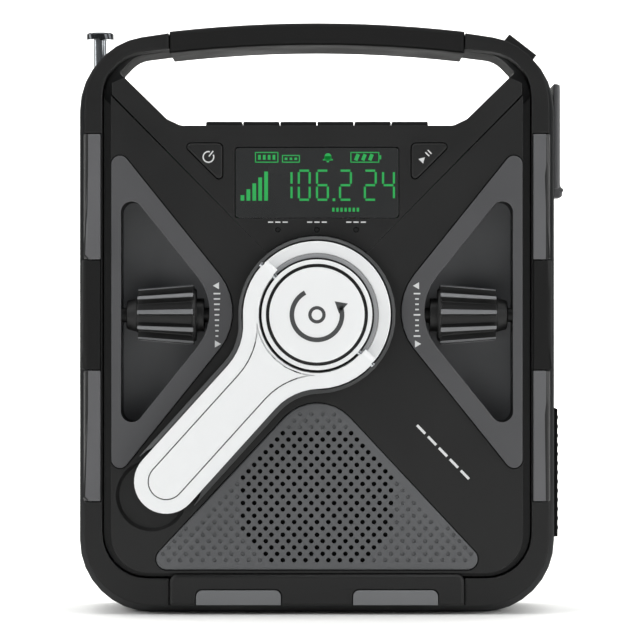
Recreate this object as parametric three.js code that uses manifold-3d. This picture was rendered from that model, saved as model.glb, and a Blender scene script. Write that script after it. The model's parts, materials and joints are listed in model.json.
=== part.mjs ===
// Hand-crank emergency radio. Millimetres, +Z up, front towards -Y, +X to the right of a person facing it.
// The origin is the middle of the flat base.
import * as THREE from 'three';
import { mergeVertices } from 'three/addons/utils/BufferGeometryUtils.js';
import Module from 'manifold-3d';

const wasm = await Module();
wasm.setup();

// ---- driving dimensions ----
const gap = 0.3; // between pieces that are let into each other
const arcStep = 12; // degrees between the points of a round corner

const shellHalfWidth = 79;
const shellFrontY = -14;
const shellBackY = 27;
const upperBackY = 14.5; // the handle loop is shallower than the body
const shellCornerRadius = 24;
const wall = 3;

const bumperHalfWidth = 76.7;
const bumperInnerHalfWidth = 70.9;
const bumperFrontY = -25.5;
const bumperBackY = shellFrontY - gap;
const bumperBottomZ = 3;

const archRadius = 431; // the whole top is one shallow arc
const shellTopZ = 195;
const barTopZ = 193.8;
const barUnderZ = 189.5;
const gripTopZ = 195.2;
const gripUnderZ = 188;
const gripHalfWidth = 48.7;
const gripSeatFrontY = -23.9; // the bar is thinner where the grip goes round it
const gripSeatBackY = 13.4;

const panelFrontY = -25;
const panelBackY = -22.5;
const panelHalfWidth = 68;
const panelBottomZ = 13.6;

const deckZ = 161.4; // floor of the finger opening
const deckBackY = -5;
const deckUnderZ = 158.9;

const hubZ = 98.9; // crank axis, which runs along Y
const plinthRadius = 25.9;
const plinthFrontY = -31;
const rotorRadius = 24.2;
const rotorFrontY = -31.4;
const armBackY = -31.8;
const armFrontY = -36.4;
const armHingeY = (armBackY + armFrontY) / 2;
const armLength = 73.5;
const armHalfWidth = 10.5;
const armFillet = 19.8;
const armAngle = THREE.MathUtils.degToRad(227.9); // direction of the folded arm, seen from the front
const hubBossRadius = 18.1;
const shaftRadius = 3;

const sideZ = 99.9; // middle of the two side bezels
const knobZ = 98.9;
const knobY = -20;
const cupFloorY = -8.7;
const cupBackY = -6.5;

const speakerZ = 38.9;
const gearModule = 1;
const gearFrontY = -18.4;
const gearBackY = -14.4;

const antennaX = -74.3;
const antennaY = 19.6;
const antennaPivotZ = 38;
const antennaCapZ = 193.1; // underside of the pull cap

const portMiddleY = 1.75; // sockets on the right side, behind their cover
const portHalfDepth = 6.45;
const portBlockZ = [142.7, 173.1];
const portCoverX = 79.3;
const portCoverZ = [141.2, 176.4];
const usbSocketZ = [146.8, 159.2];
const phonesZ = 167.3;

const solarHalfWidth = 47;
const solarZ = [85, 150];
const doorHalfWidth = 31;
const doorZ = [22, 72];
const solarBackY = shellBackY - 1;

// ---- materials ----
function finish(color, roughness, metalness = 0) {
  return { color, roughness, metalness };
}
const blackPlastic = finish(0x2a2a2b, 0.5);
const satinShell = finish(0x343536, 0.35);
const softRubber = finish(0x262626, 0.85);
const greyPlastic = finish(0x626263, 0.55);
const silver = finish(0xe6e7e8, 0.28, 0.7);
const steel = finish(0xb9bcc0, 0.25, 1);
const brass = finish(0xb59a55, 0.35, 1);
const glassClear = finish(0x1a1c1c, 0.08);
const lcdGreen = finish(0x1e2a22, 0.3);
const boardGreen = finish(0x1f5a38, 0.6);
const whiteNylon = finish(0xe8e4d8, 0.5);

// ---- solids ----
function toSolid(geometry) {
  const bare = geometry.clone();
  bare.deleteAttribute('normal');
  bare.deleteAttribute('uv');
  const merged = mergeVertices(bare, 1e-4);
  const vertProperties = new Float32Array(merged.getAttribute('position').array);
  const triVerts = new Uint32Array(merged.index.array);
  return new wasm.Manifold(new wasm.Mesh({ numProp: 3, vertProperties, triVerts }));
}

function toGeometry(solid) {
  const mesh = solid.getMesh();
  const geometry = new THREE.BufferGeometry();
  geometry.setAttribute('position', new THREE.BufferAttribute(mesh.vertProperties, 3));
  geometry.setIndex(new THREE.BufferAttribute(mesh.triVerts, 1));
  geometry.computeVertexNormals();
  return geometry;
}

function join(...geometries) {
  return toGeometry(geometries.map(toSolid).reduce((whole, next) => whole.add(next)));
}

function cut(geometry, ...tools) {
  return toGeometry(tools.map(toSolid).reduce((whole, tool) => whole.subtract(tool), toSolid(geometry)));
}

// Outline from [x, z, radius] corners, each rounded by an arc of that radius.
function rounded(corners, step = arcStep) {
  const points = [];
  corners.forEach(([x, z, radius = 0], index) => {
    const corner = new THREE.Vector2(x, z);
    if (radius === 0) {
      points.push(corner);
      return;
    }
    const [previousX, previousZ] = corners.at(index - 1);
    const [nextX, nextZ] = corners[(index + 1) % corners.length];
    const before = new THREE.Vector2(previousX, previousZ).sub(corner).normalize();
    const after = new THREE.Vector2(nextX, nextZ).sub(corner).normalize();
    const halfAngle = Math.acos(before.dot(after)) / 2;
    const bisector = before.clone().add(after).normalize();
    const middle = bisector.multiplyScalar(radius / Math.sin(halfAngle)).add(corner);
    const start = before.multiplyScalar(radius / Math.tan(halfAngle)).add(corner).sub(middle);
    const end = after.multiplyScalar(radius / Math.tan(halfAngle)).add(corner).sub(middle);
    const turn = Math.atan2(start.cross(end), start.dot(end));
    const count = Math.max(2, Math.ceil(THREE.MathUtils.radToDeg(Math.abs(turn)) / step));
    for (let i = 0; i <= count; i += 1) {
      points.push(start.clone().rotateAround(new THREE.Vector2(), (turn * i) / count).add(middle));
    }
  });
  return points;
}

function arc(centreX, centreZ, radius, fromDegrees, toDegrees, count) {
  return Array.from({ length: count + 1 }, (_, i) => {
    const angle = THREE.MathUtils.degToRad(fromDegrees + ((toDegrees - fromDegrees) * i) / count);
    return new THREE.Vector2(centreX + radius * Math.cos(angle), centreZ + radius * Math.sin(angle));
  });
}

// An outline drawn as seen from the front, given its thickness along Y.
function plate(points, frontY, backY, holes = []) {
  const shape = new THREE.Shape(points);
  shape.holes = holes.map((hole) => new THREE.Path(hole));
  const geometry = new THREE.ExtrudeGeometry(shape, { depth: backY - frontY, bevelEnabled: false });
  geometry.rotateX(Math.PI / 2);
  geometry.translate(0, backY, 0);
  return geometry;
}

// The same, with its edges chamfered by bevel at both faces.
function chamferedPlate(points, frontY, backY, bevel, bevelSegments = 1) {
  const geometry = new THREE.ExtrudeGeometry(new THREE.Shape(points), {
    depth: backY - frontY - 2 * bevel,
    bevelThickness: bevel,
    bevelSize: bevel,
    bevelOffset: -bevel,
    bevelSegments,
  });
  geometry.rotateX(Math.PI / 2);
  geometry.translate(0, backY - bevel, 0);
  return geometry;
}

function block(fromX, toX, fromY, toY, fromZ, toZ) {
  const geometry = new THREE.BoxGeometry(toX - fromX, toY - fromY, toZ - fromZ);
  geometry.translate((fromX + toX) / 2, (fromY + toY) / 2, (fromZ + toZ) / 2);
  return geometry;
}

// Turned about the Y axis through (x, z); the profile is [radius, y] from the front to the back.
function turnedY(profile, x = 0, z = 0, sides = 32) {
  const points = profile.map(([radius, y]) => new THREE.Vector2(radius, y));
  const geometry = new THREE.LatheGeometry(points, sides);
  geometry.translate(x, 0, z);
  return geometry;
}

// Turned about the Z axis through (x, y); the profile is [radius, z] from the bottom up.
function turnedZ(profile, x, y, sides = 16) {
  const points = profile.map(([radius, z]) => new THREE.Vector2(radius, z));
  const geometry = new THREE.LatheGeometry(points, sides);
  geometry.rotateX(Math.PI / 2);
  geometry.translate(x, y, 0);
  return geometry;
}

// Turned about the X axis through (y, z); the profile is [radius, x] from left to right.
function turnedX(profile, y, z, sides = 24) {
  const points = profile.map(([radius, x]) => new THREE.Vector2(radius, x));
  const geometry = new THREE.LatheGeometry(points, sides);
  geometry.rotateZ(-Math.PI / 2);
  geometry.translate(0, y, z);
  return geometry;
}

function rodY(radius, fromY, toY, x, z, sides = 20) {
  return turnedY([[0, fromY], [radius, fromY], [radius, toY], [0, toY]], x, z, sides);
}

function rodX(radius, fromX, toX, y, z, sides = 20) {
  return turnedX([[0, fromX], [radius, fromX], [radius, toX], [0, toX]], y, z, sides);
}

function rodZ(radius, fromZ, toZ, x, y, sides = 20) {
  return turnedZ([[0, fromZ], [radius, fromZ], [radius, toZ], [0, toZ]], x, y, sides);
}

// The mirror image across the X = 0 plane, with its faces turned back outwards.
function flipX(geometry) {
  const flipped = geometry.clone();
  flipped.deleteAttribute('normal');
  flipped.deleteAttribute('uv');
  const merged = mergeVertices(flipped, 1e-4);
  merged.scale(-1, 1, 1);
  merged.index.array.reverse();
  merged.computeVertexNormals();
  return merged;
}

function mirrorBlock(side, innerX, outerX, fromY, toY, fromZ, toZ) {
  const [fromX, toX] = side > 0 ? [innerX, outerX] : [-outerX, -innerX];
  return block(fromX, toX, fromY, toY, fromZ, toZ);
}

// ---- the object ----
const radio = new THREE.Group();

function add(name, geometry, look, parent = radio) {
  const mesh = new THREE.Mesh(geometry, new THREE.MeshStandardMaterial(look));
  mesh.name = name;
  parent.add(mesh);
  return mesh;
}

// ---- outlines ----
const archZ = (topZ, x) => topZ - archRadius + Math.sqrt(archRadius ** 2 - x ** 2);

function archPoints(topZ, halfWidth, count = 8) {
  return Array.from({ length: count + 1 }, (_, i) => {
    const x = halfWidth - (2 * halfWidth * i) / count;
    return [x, archZ(topZ, x)];
  });
}

// Body outline whose top is the arc, dropping to the handle bar between the two corners.
function bodyOutline(halfWidth, bottomZ, topZ, cornerRadius) {
  return rounded([
    [-halfWidth, bottomZ, cornerRadius],
    [halfWidth, bottomZ, cornerRadius],
    [halfWidth, archZ(topZ, halfWidth), cornerRadius],
    [gripHalfWidth + gap, archZ(topZ, gripHalfWidth)],
    ...archPoints(barTopZ, gripHalfWidth + gap),
    [-gripHalfWidth - gap, archZ(topZ, gripHalfWidth)],
    [-halfWidth, archZ(topZ, halfWidth), cornerRadius],
  ]);
}

const openingTipX = 63.5;
const openingTipZ = 177.2;
const openingEnd = [65.9, 179.6]; // the shell's opening runs a little past the fascia's tip
const openingCorner = [60.5, 185.2];
const fingerOpening = rounded([
  [-49.5, 163.5, 3], [-45, deckZ, 3], [45, deckZ, 3], [49.5, 163.5, 3],
  [openingEnd[0], openingEnd[1], 1],
  [openingCorner[0], openingCorner[1], 9],
  ...archPoints(barUnderZ, 46),
  [-openingCorner[0], openingCorner[1], 9],
  [-openingEnd[0], openingEnd[1], 1],
]);

// The fascia is a trapezoid whose lower edge is hollowed round the crank.
const seamX = 67.7;
const seamZ = 171.7;
const hubClearance = 26.3;
function fasciaOutline(grow) {
  const side = seamX + grow;
  return [
    ...rounded([
      [side, seamZ - 1.4 * grow],
      [side, 175.4],
      [openingTipX, openingTipZ],
      [49.5, 163.5, 3],
      [45, deckZ, 3],
      [-45, deckZ, 3],
      [-49.5, 163.5, 3],
      [-openingTipX, openingTipZ],
      [-side, 175.4],
      [-side, seamZ - 1.4 * grow],
    ]),
    ...arc(0, hubZ, hubClearance - grow, 129, 51, 10),
  ];
}

// Side triangle with its upright edge outside, seen on the right; the left one is its mirror.
const bezelSlope = THREE.MathUtils.degToRad(51.3);
function sideTriangle(outerX, apexX, cornerRadius, apexRadius, grow) {
  const left = apexX - grow / Math.sin(bezelSlope);
  const right = outerX + grow;
  const rise = (right - left) * Math.tan(bezelSlope);
  return rounded([
    [right, sideZ + rise, cornerRadius + grow],
    [left, sideZ, apexRadius + grow],
    [right, sideZ - rise, cornerRadius + grow],
  ]);
}
const bezelOutline = (grow) => sideTriangle(67.8, 22.4, 2.8, 19.5, grow);
const recessOutline = sideTriangle(64.7, 30.2, 3.6, 18.5, 0);

const grilleOutline = (grow) => rounded([
  [0, 76.6 + 1.45 * grow, 14.6 + grow],
  [-57.6 - 2.4 * grow, 14.8 - grow, 3.5 + grow],
  [57.6 + 2.4 * grow, 14.8 - grow, 3.5 + grow],
]);

const buttonOutline = (grow) => rounded([
  [31.2 - grow, 155.5 + grow, 1.6 + grow],
  [31.2 - grow, 142.2 - 2.4 * grow, 1.2 + grow],
  [44.5 + 2.4 * grow, 155.5 + grow, 1.2 + grow],
]);

// Ring, fillets and straight arm, in the arm's own frame: +X along the arm from the hub.
function armOutline(grow) {
  const ring = rotorRadius + grow;
  const fillet = armFillet - grow;
  const filletZ = armHalfWidth + armFillet;
  const filletX = Math.sqrt((rotorRadius + armFillet) ** 2 - filletZ ** 2);
  const meet = THREE.MathUtils.radToDeg(Math.atan2(filletZ, filletX));
  const upper = [
    ...arc(0, 0, ring, 90, meet, 6),
    ...arc(filletX, filletZ, fillet, meet + 180, 270, 6).slice(1),
    ...arc(armLength, 0, armHalfWidth + grow, 90, 0, 10),
  ];
  const lower = upper.slice(0, -1).reverse().map((point) => new THREE.Vector2(point.x, -point.y));
  return [...upper, ...lower];
}

// ---- rear shell ----
const screwPlaces = [[-58, 12], [58, 12], [-56, 160], [56, 160]];
const screwHeadY = 25.8;
const flashlightPlace = new THREE.Vector2(55, 163);
const flashlightTurn = THREE.MathUtils.degToRad(37.7);
const flashlightOffset = -5.1;
const flashlightWidth = 11.6;
const flashlightDepth = 14;
const flashlightSeat = 24;
const flashlightTop = 29.6;

// Box at the flashlight's place on the corner, from and to a distance from the corner's centre.
function flashlightBlock(width, depth, from, to) {
  const geometry = block(-width / 2, width / 2, -depth / 2, depth / 2, from, to);
  geometry.translate(flashlightOffset, 0, 0);
  geometry.rotateY(flashlightTurn);
  geometry.translate(flashlightPlace.x, 0, flashlightPlace.y);
  return geometry;
}

function rearShell() {
  const loop = plate(
    bodyOutline(shellHalfWidth, 0, shellTopZ, shellCornerRadius),
    shellFrontY, upperBackY, [fingerOpening],
  );
  const sideStep = 0.4;
  const tray = chamferedPlate(rounded([
    [-shellHalfWidth + sideStep, 0.01, shellCornerRadius],
    [shellHalfWidth - sideStep, 0.01, shellCornerRadius],
    [shellHalfWidth - sideStep, 170, 8],
    [47, 160.5, 5],
    [-47, 160.5, 5],
    [-shellHalfWidth + sideStep, 170, 8],
  ]), -10, shellBackY, 4, 2);
  const insideWidth = shellHalfWidth - wall;
  const frontCavity = plate(rounded([
    [-insideWidth, wall, 20], [insideWidth, wall, 20], [insideWidth, 157, 4], [-insideWidth, 157, 4],
  ]), shellFrontY - 1, 12.5);
  const rearCavity = plate(rounded([
    [-65, wall, 8], [insideWidth, wall, 20], [insideWidth, 157, 4], [-65, 157, 4],
  ]), 12, shellBackY - 2.4);
  const fasciaRoom = plate(fasciaOutline(gap), shellFrontY - 1, deckBackY + gap);
  const antennaNotch = block(-85, -68.2, upperBackY + 0.4, 40, 31, 220);
  const gripSeat = block(-gripHalfWidth - gap, gripHalfWidth + gap, gripSeatBackY, 20, 184, 200);
  const roomHalfDepth = portHalfDepth + gap;
  const roomZ = [portBlockZ[0] - gap, portBlockZ[1] + gap];
  const portRoom = block(66, 85, portMiddleY - roomHalfDepth, portMiddleY + roomHalfDepth, ...roomZ);
  const solarX = solarHalfWidth + gap;
  const solarSeat = block(-solarX, solarX, solarBackY - gap, 40, solarZ[0] - gap, solarZ[1] + gap);
  const doorX = doorHalfWidth + gap;
  const doorOpening = block(-doorX, doorX, 20, 40, doorZ[0] - gap, doorZ[1] + gap);
  return cut(
    join(loop, tray),
    frontCavity, rearCavity, fasciaRoom, antennaNotch, gripSeat, portRoom, solarSeat, doorOpening,
    flashlightBlock(flashlightWidth + 2 * gap, flashlightDepth + 2 * gap, flashlightSeat - gap, 40),
    rodX(1.8, -69, -63, antennaY, antennaPivotZ, 16),
    ...screwPlaces.map(([x, z]) => rodY(3.1, screwHeadY - gap, 40, x, z, 16)),
    ...screwPlaces.map(([x, z]) => rodY(1.5, 14, 40, x, z, 12)),
  );
}
add('rear_shell', rearShell(), satinShell);

screwPlaces.forEach(([x, z], index) => {
  const profile = [
    [0, 16], [1.2, 16], [1.2, screwHeadY], [2.8, screwHeadY], [2.8, shellBackY], [0, shellBackY],
  ];
  const crossSlot = [
    block(x - 1.7, x + 1.7, shellBackY - 0.8, 40, z - 0.35, z + 0.35),
    block(x - 0.35, x + 0.35, shellBackY - 0.8, 40, z - 1.7, z + 1.7),
  ];
  add(`rear_screw_${index + 1}`, cut(turnedY(profile, x, z, 16), ...crossSlot), steel);
});

// ---- bumper frame and what is let into it ----
const insertStretch = [37.4, 158.6];
const padStretch = [80.8, 116.9];
const sideInnerX = 71.4;
const sideInsertX = 77;
const sidePadX = 77.7;
const insertFrontY = -25.6;

function bumperFrame() {
  const inside = rounded([
    [-bumperInnerHalfWidth, 11.9, 15],
    [bumperInnerHalfWidth, 11.9, 15],
    [bumperInnerHalfWidth, 184.3, 15],
    ...archPoints(barUnderZ, 46),
    [-bumperInnerHalfWidth, 184.3, 15],
  ]);
  const outside = bodyOutline(bumperHalfWidth, bumperBottomZ, shellTopZ - 0.4, 22);
  const ring = plate(outside, bumperFrontY, bumperBackY, [inside]);
  const [lowZ, highZ] = insertStretch;
  const sideSeats = [1, -1].flatMap((side) => [
    mirrorBlock(side, sideInnerX - gap, 90, -30, -23.3, lowZ - gap, highZ + gap),
    mirrorBlock(side, 74.5, 90, -30, -10, lowZ - gap, highZ + gap),
  ]);
  const gripSeat = block(-gripHalfWidth - gap, gripHalfWidth + gap, -30, gripSeatFrontY, 184, 200);
  const guardSeat = block(-48.9, 48.9, -30, -22.7, 0, 13.6);
  return cut(ring, gripSeat, guardSeat, ...sideSeats);
}
add('bumper_frame', bumperFrame(), blackPlastic);

// Angle piece that wraps the outer edge of the bumper, on the side given by its sign.
function sidePiece(side, outerX, innerX, frontY, lowZ, highZ) {
  return join(
    mirrorBlock(side, innerX, outerX, frontY, -23.6, lowZ, highZ),
    mirrorBlock(side, 74.8, outerX, frontY, bumperBackY - gap, lowZ, highZ),
  );
}

[['left', -1], ['right', 1]].forEach(([label, side]) => {
  const [lowZ, highZ] = insertStretch;
  const [padLow, padHigh] = padStretch;
  const insert = (from, to) => sidePiece(side, sideInsertX, sideInnerX, insertFrontY, from, to);
  add(`side_insert_${label}_upper`, insert(padHigh + gap, highZ), greyPlastic);
  add(`side_insert_${label}_lower`, insert(lowZ, padLow - gap), greyPlastic);
  add(`side_pad_${label}`, sidePiece(side, sidePadX, sideInnerX, insertFrontY, padLow, padHigh), softRubber);
});

const footOutline = (side, grow) => rounded([
  [side * 11.9 - side * grow, 3.2 - grow],
  [side * 39.9 + side * grow, 3.2 - grow],
  [side * 39.9 + side * grow, 8.1 + grow, 2.2],
  [side * 11.9 - side * grow, 8.1 + grow, 2.2],
]);
const guardOutline = rounded([[-48.6, 3, 1], [48.6, 3, 1], [48.6, 13.3, 2.5], [-48.6, 13.3, 2.5]]);
const footSeats = [-1, 1].map((side) => plate(footOutline(side, gap), -30, -24.9));
add('bottom_guard', cut(chamferedPlate(guardOutline, -26.6, -23, 0.8), ...footSeats), blackPlastic);
add('foot_insert_left', plate(footOutline(-1, 0), -26.8, -25.2), greyPlastic);
add('foot_insert_right', plate(footOutline(1, 0), -26.8, -25.2), greyPlastic);

// ---- handle grip, a sleeve round the bar ----
function handleGrip() {
  const band = (topZ, underZ, halfWidth) => [
    ...archPoints(topZ, halfWidth, 12),
    ...archPoints(underZ, halfWidth, 12).reverse(),
  ].map(([x, z]) => new THREE.Vector2(x, z));
  return cut(
    chamferedPlate(band(gripTopZ, gripUnderZ, gripHalfWidth), insertFrontY, upperBackY + 0.7, 1.1, 2),
    plate(band(barTopZ + gap, barUnderZ - gap, gripHalfWidth + 1), gripSeatFrontY - gap, gripSeatBackY + gap),
  );
}
add('handle_grip', handleGrip(), softRubber);

// ---- front panel ----
const scoopX = -54.5;
const scoopZ = 39.3;
const scoopProfile = [[0, -26], [12.6, -26], [11.9, panelFrontY], [10.8, -23.5], [8, -23.2], [0, -23.2]];
const speakerHoleRadius = 22.5;

function panelOutline(halfWidth, bottomZ, cornerRadius) {
  return [
    ...rounded([
      [-halfWidth, seamZ - gap * 1.4 - (halfWidth - seamX) * 0.2],
      [-halfWidth, bottomZ, cornerRadius],
      [halfWidth, bottomZ, cornerRadius],
      [halfWidth, seamZ - gap * 1.4 - (halfWidth - seamX) * 0.2],
    ]),
    ...arc(0, hubZ, hubClearance - gap, 51, 129, 10),
  ];
}

function frontPanel() {
  const face = plate(panelOutline(panelHalfWidth, panelBottomZ, 12.5), panelFrontY, panelBackY);
  const flange = plate(panelOutline(70.5, 12.4, 14.6), panelBackY - 0.2, panelBackY + 1.7);
  const bezelSeat = plate(bezelOutline(gap), -30, -23.1);
  const bezelHole = plate(bezelOutline(-0.9), -30, -10);
  return cut(
    join(face, flange),
    bezelSeat, flipX(bezelSeat), bezelHole, flipX(bezelHole),
    plate(grilleOutline(gap), -30, -23.2),
    rodY(speakerHoleRadius, -30, -10, 0, speakerZ, 32),
    rodY(shaftRadius + 0.4, -30, -10, 0, hubZ, 20),
    turnedY(scoopProfile, scoopX, scoopZ, 36),
  );
}
add('front_panel', frontPanel(), blackPlastic);

// ---- display fascia with the deck behind it ----
const windowOutline = (grow) => rounded([
  [-26.9 - grow, 131 - grow, 1.2], [26.9 + grow, 131 - grow, 1.2],
  [26.9 + grow, 154.1 + grow, 1.2], [-26.9 - grow, 154.1 + grow, 1.2],
]);
const lightX = [-12.9, 0, 12.9];
const lightZ = 127;
const keyHalfRow = 36.9;
const keyFrontY = -21.2;
const keyBackY = -8.2;

function displayFascia() {
  const under = rounded([
    [-75, 185], [-50.3, 160.7], [-45.6, deckUnderZ],
    [45.6, deckUnderZ], [50.3, 160.7], [75, 185],
    [75, 90], [-75, 90],
  ]);
  const hollow = plate(under, panelBackY, 0);
  return cut(
    plate(fasciaOutline(0), panelFrontY, deckBackY),
    hollow,
    plate(windowOutline(gap), -30, -10),
    plate(buttonOutline(gap), -30, -10),
    flipX(plate(buttonOutline(gap), -30, -10)),
    block(-keyHalfRow - gap, keyHalfRow + gap, keyFrontY - gap, keyBackY + gap, 150, 170),
    ...lightX.map((x) => rodY(0.95, -30, -10, x, lightZ, 12)),
  );
}
add('display_fascia', displayFascia(), blackPlastic);
add('display_window', plate(windowOutline(0), -24.9, -23.3), glassClear);
add('lcd_module', cut(
  block(-26, 26, -22.9, -19.2, 132, 153),
  block(-24, 24, -30, -22.4, 134, 151),
), lcdGreen);
add('light_pipe', join(
  block(-14.5, 14.5, -22.2, -20.9, 125.7, 128.3),
  ...lightX.map((x) => rodY(0.7, -25.1, -21.5, x, lightZ, 12)),
), whiteNylon);

// ---- buttons and keys ----
function faceButton() {
  return join(
    plate(buttonOutline(0), -25.5, -22),
    plate(buttonOutline(1), -22.2, -21.2),
    rodY(2, -21.4, -7.5, 35.6, 151, 12),
  );
}
add('play_button', faceButton(), blackPlastic);
add('power_button', flipX(faceButton()), blackPlastic);

const keyCount = 6;
const keyUnderZ = deckUnderZ - 1.3;
const keyTopZ = 162.9;
const keyPitch = (2 * keyHalfRow) / keyCount;
for (let i = 0; i < keyCount; i += 1) {
  const fromX = -keyHalfRow + i * keyPitch + gap / 2;
  const toX = fromX + keyPitch - gap;
  add(`key_${i + 1}`, join(
    block(fromX, toX, keyFrontY, keyBackY, keyUnderZ, keyTopZ),
    block(fromX, toX, keyFrontY - 1, keyBackY + 1, keyUnderZ, deckUnderZ - gap),
  ), blackPlastic);
}

// ---- side bezels and their rollers ----
function sideBezel() {
  return cut(
    join(plate(bezelOutline(0), -25.6, -23.4), plate(bezelOutline(-1.2), -23.6, cupBackY)),
    plate(recessOutline, -30, cupFloorY),
    rodX(2.8, 33, 38, knobY, knobZ, 16),
    rodX(2.8, 64, 70, knobY, knobZ, 16),
  );
}
add('tuning_bezel', sideBezel(), greyPlastic);
add('volume_bezel', flipX(sideBezel()), greyPlastic);

const rollerProfile = [
  [0, 34.2], [2.4, 34.2], [2.4, 37.4], [5.5, 37.4], [5.5, 39.9], [10.2, 39.9],
  [8.5, 59.7], [5, 63], [2.4, 63], [2.4, 66.3], [0, 66.3],
];
[['tuning_knob', 0], ['volume_knob', Math.PI]].forEach(([name, turn]) => {
  const roller = add(name, turnedX(rollerProfile, 0, 0), blackPlastic);
  roller.rotation.z = turn;
  roller.position.set(0, knobY, knobZ);
});

// ---- loudspeaker ----
add('speaker_grille', plate(grilleOutline(0), -25.3, -23.5), greyPlastic);
add('speaker_driver', turnedY([
  [0, -14], [8, -13], [21, -20], [22.3, -20.4], [26.5, -20.4], [26.5, -18.2], [22, -17.6], [15.5, -9],
  [15.5, -2.5], [0, -2.5],
], 0, speakerZ), steel);

// ---- crank ----
const crank = new THREE.Group();
crank.position.z = hubZ;
crank.rotation.y = -armAngle;
radio.add(crank);

const pinRadius = 1;
const pinBore = 1.2;
const hingeReach = 24.9;
const wellRadius = 24.8;

function crankPlinth() {
  const rim = plinthRadius - rotorRadius;
  const backY = panelFrontY + 4;
  const disc = chamferedPlate(arc(0, 0, plinthRadius, 0, 351, 39), plinthFrontY, backY, 1.2);
  const spine = chamferedPlate(armOutline(rim), plinthFrontY, backY, 1.2);
  return cut(
    join(disc, spine),
    block(-60, 120, panelFrontY - 0.1, 20, -60, 60),
    rodY(wellRadius, -50, -28.5, 0, 0, 40),
    rodY(shaftRadius + 0.4, -50, 0, 0, 0, 20),
    rodY(11.9, -50, 0, armLength, 0, 28),
    block(armLength, 120, -50, 0, -30, 30),
  );
}
add('crank_plinth', crankPlinth(), blackPlastic, crank);

function crankRotor() {
  const profile = [
    [0, -35.6], [16.7, -35.6], [16.7, -36.2], [hubBossRadius, -36.2], [hubBossRadius, rotorFrontY],
    [rotorRadius, rotorFrontY], [rotorRadius, -28.8], [shaftRadius, -28.8], [shaftRadius, -8], [0, -8],
  ];
  return cut(turnedY(profile, 0, 0, 40), rodZ(pinBore, -30, 30, 0, armHingeY, 12));
}
add('crank_rotor', crankRotor(), silver, crank);
const capProfile = [[0, -36.6], [13.4, -36.6], [15.6, -36.1], [15.6, -35.7], [0, -35.7]];
add('crank_hub_cap', turnedY(capProfile, 0, 0, 40), silver, crank);
add('crank_hinge_pin', rodZ(pinRadius, -hingeReach, hingeReach, 0, armHingeY, 12), steel, crank);

const inlayInset = 4.8;
function inlayOutline(grow) {
  const innerRadius = 20.1 - 0.85 * grow;
  const fillet = armFillet + inlayInset - grow;
  const filletZ = armHalfWidth + armFillet;
  const filletX = Math.sqrt((rotorRadius + armFillet) ** 2 - filletZ ** 2);
  const far = rotorRadius + armFillet;
  const along = (innerRadius ** 2 - fillet ** 2 + far ** 2) / (2 * far);
  const spread = Math.acos(along / innerRadius);
  const meet = THREE.MathUtils.radToDeg(Math.atan2(filletZ, filletX) - spread);
  const startX = innerRadius * Math.cos(THREE.MathUtils.degToRad(meet));
  const startZ = innerRadius * Math.sin(THREE.MathUtils.degToRad(meet));
  const startAngle = 360 + THREE.MathUtils.radToDeg(Math.atan2(startZ - filletZ, startX - filletX));
  const upper = [
    ...arc(0, 0, innerRadius, 0, meet, 3).slice(1),
    ...arc(filletX, filletZ, fillet, startAngle, 270, 6).slice(1),
    ...arc(armLength, 0, armHalfWidth - inlayInset + grow, 90, 0, 8),
  ];
  const lower = upper.slice(0, -1).reverse().map((point) => new THREE.Vector2(point.x, -point.y));
  return [new THREE.Vector2(innerRadius, 0), ...upper, ...lower];
}

function crankArm() {
  const band = [...armOutline(0), ...arc(0, 0, 19.1, -90, 90, 20)];
  const barrel = (armFrontY - armBackY) / -2;
  return cut(
    join(
      plate(band, armFrontY, armBackY),
      rodZ(barrel, 19.4, rotorRadius - 0.3, 0, armHingeY, 20),
      rodZ(barrel, -rotorRadius + 0.3, -19.4, 0, armHingeY, 20),
    ),
    plate(inlayOutline(0.35), -50, armFrontY + 0.7),
    rodZ(pinRadius + 0.3, -30, 30, 0, armHingeY, 12),
    rodY(1.9, -35.6, 0, armLength, 0, 16),
  );
}
add('crank_arm', crankArm(), silver, crank);
add('crank_arm_inlay', plate(inlayOutline(0), armFrontY - 0.1, armFrontY + 0.4), silver, crank);
add('crank_knob', turnedY([
  [0, -35.2], [1.5, -35.2], [1.5, -31.4], [5.6, -31.4], [6.4, -30.6], [6.4, -27.2], [5.2, -26.2], [0, -26.2],
], armLength, 0, 24), blackPlastic, crank);

// ---- gear train and dynamo ----
const pressureAngle = THREE.MathUtils.degToRad(25);
const backlash = 0.24;
const involute = (angle) => Math.tan(angle) - angle;

// Spur gear about Y with one tooth pointing along the angle phase, in radians.
function gearOutline(teeth, phase) {
  const pitchRadius = (gearModule * teeth) / 2;
  const baseRadius = pitchRadius * Math.cos(pressureAngle);
  const radii = [pitchRadius - gearModule, pitchRadius, pitchRadius + 0.8 * gearModule];
  const halfTooth = (radius) => {
    const pressure = Math.acos(Math.min(1, baseRadius / radius));
    const atPitch = (Math.PI * gearModule) / 2 - backlash;
    return atPitch / (2 * pitchRadius) + involute(pressureAngle) - involute(pressure);
  };
  const points = [];
  for (let i = 0; i < teeth; i += 1) {
    const middle = phase + (2 * Math.PI * i) / teeth;
    const flank = radii.map((radius) => [radius, halfTooth(radius)]);
    flank.forEach(([radius, half]) => points.push(polar(radius, middle - half)));
    flank.reverse().forEach(([radius, half]) => points.push(polar(radius, middle + half)));
  }
  return points;
}

function polar(radius, angle) {
  return new THREE.Vector2(radius * Math.cos(angle), radius * Math.sin(angle));
}

function gear(teeth, phase, x, z, boreRadius) {
  const bore = boreRadius > 0 ? [arc(0, 0, boreRadius, 0, 342, 19)] : [];
  const geometry = plate(gearOutline(teeth, phase), gearFrontY, gearBackY, bore);
  geometry.translate(x, 0, z);
  return geometry;
}

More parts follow.
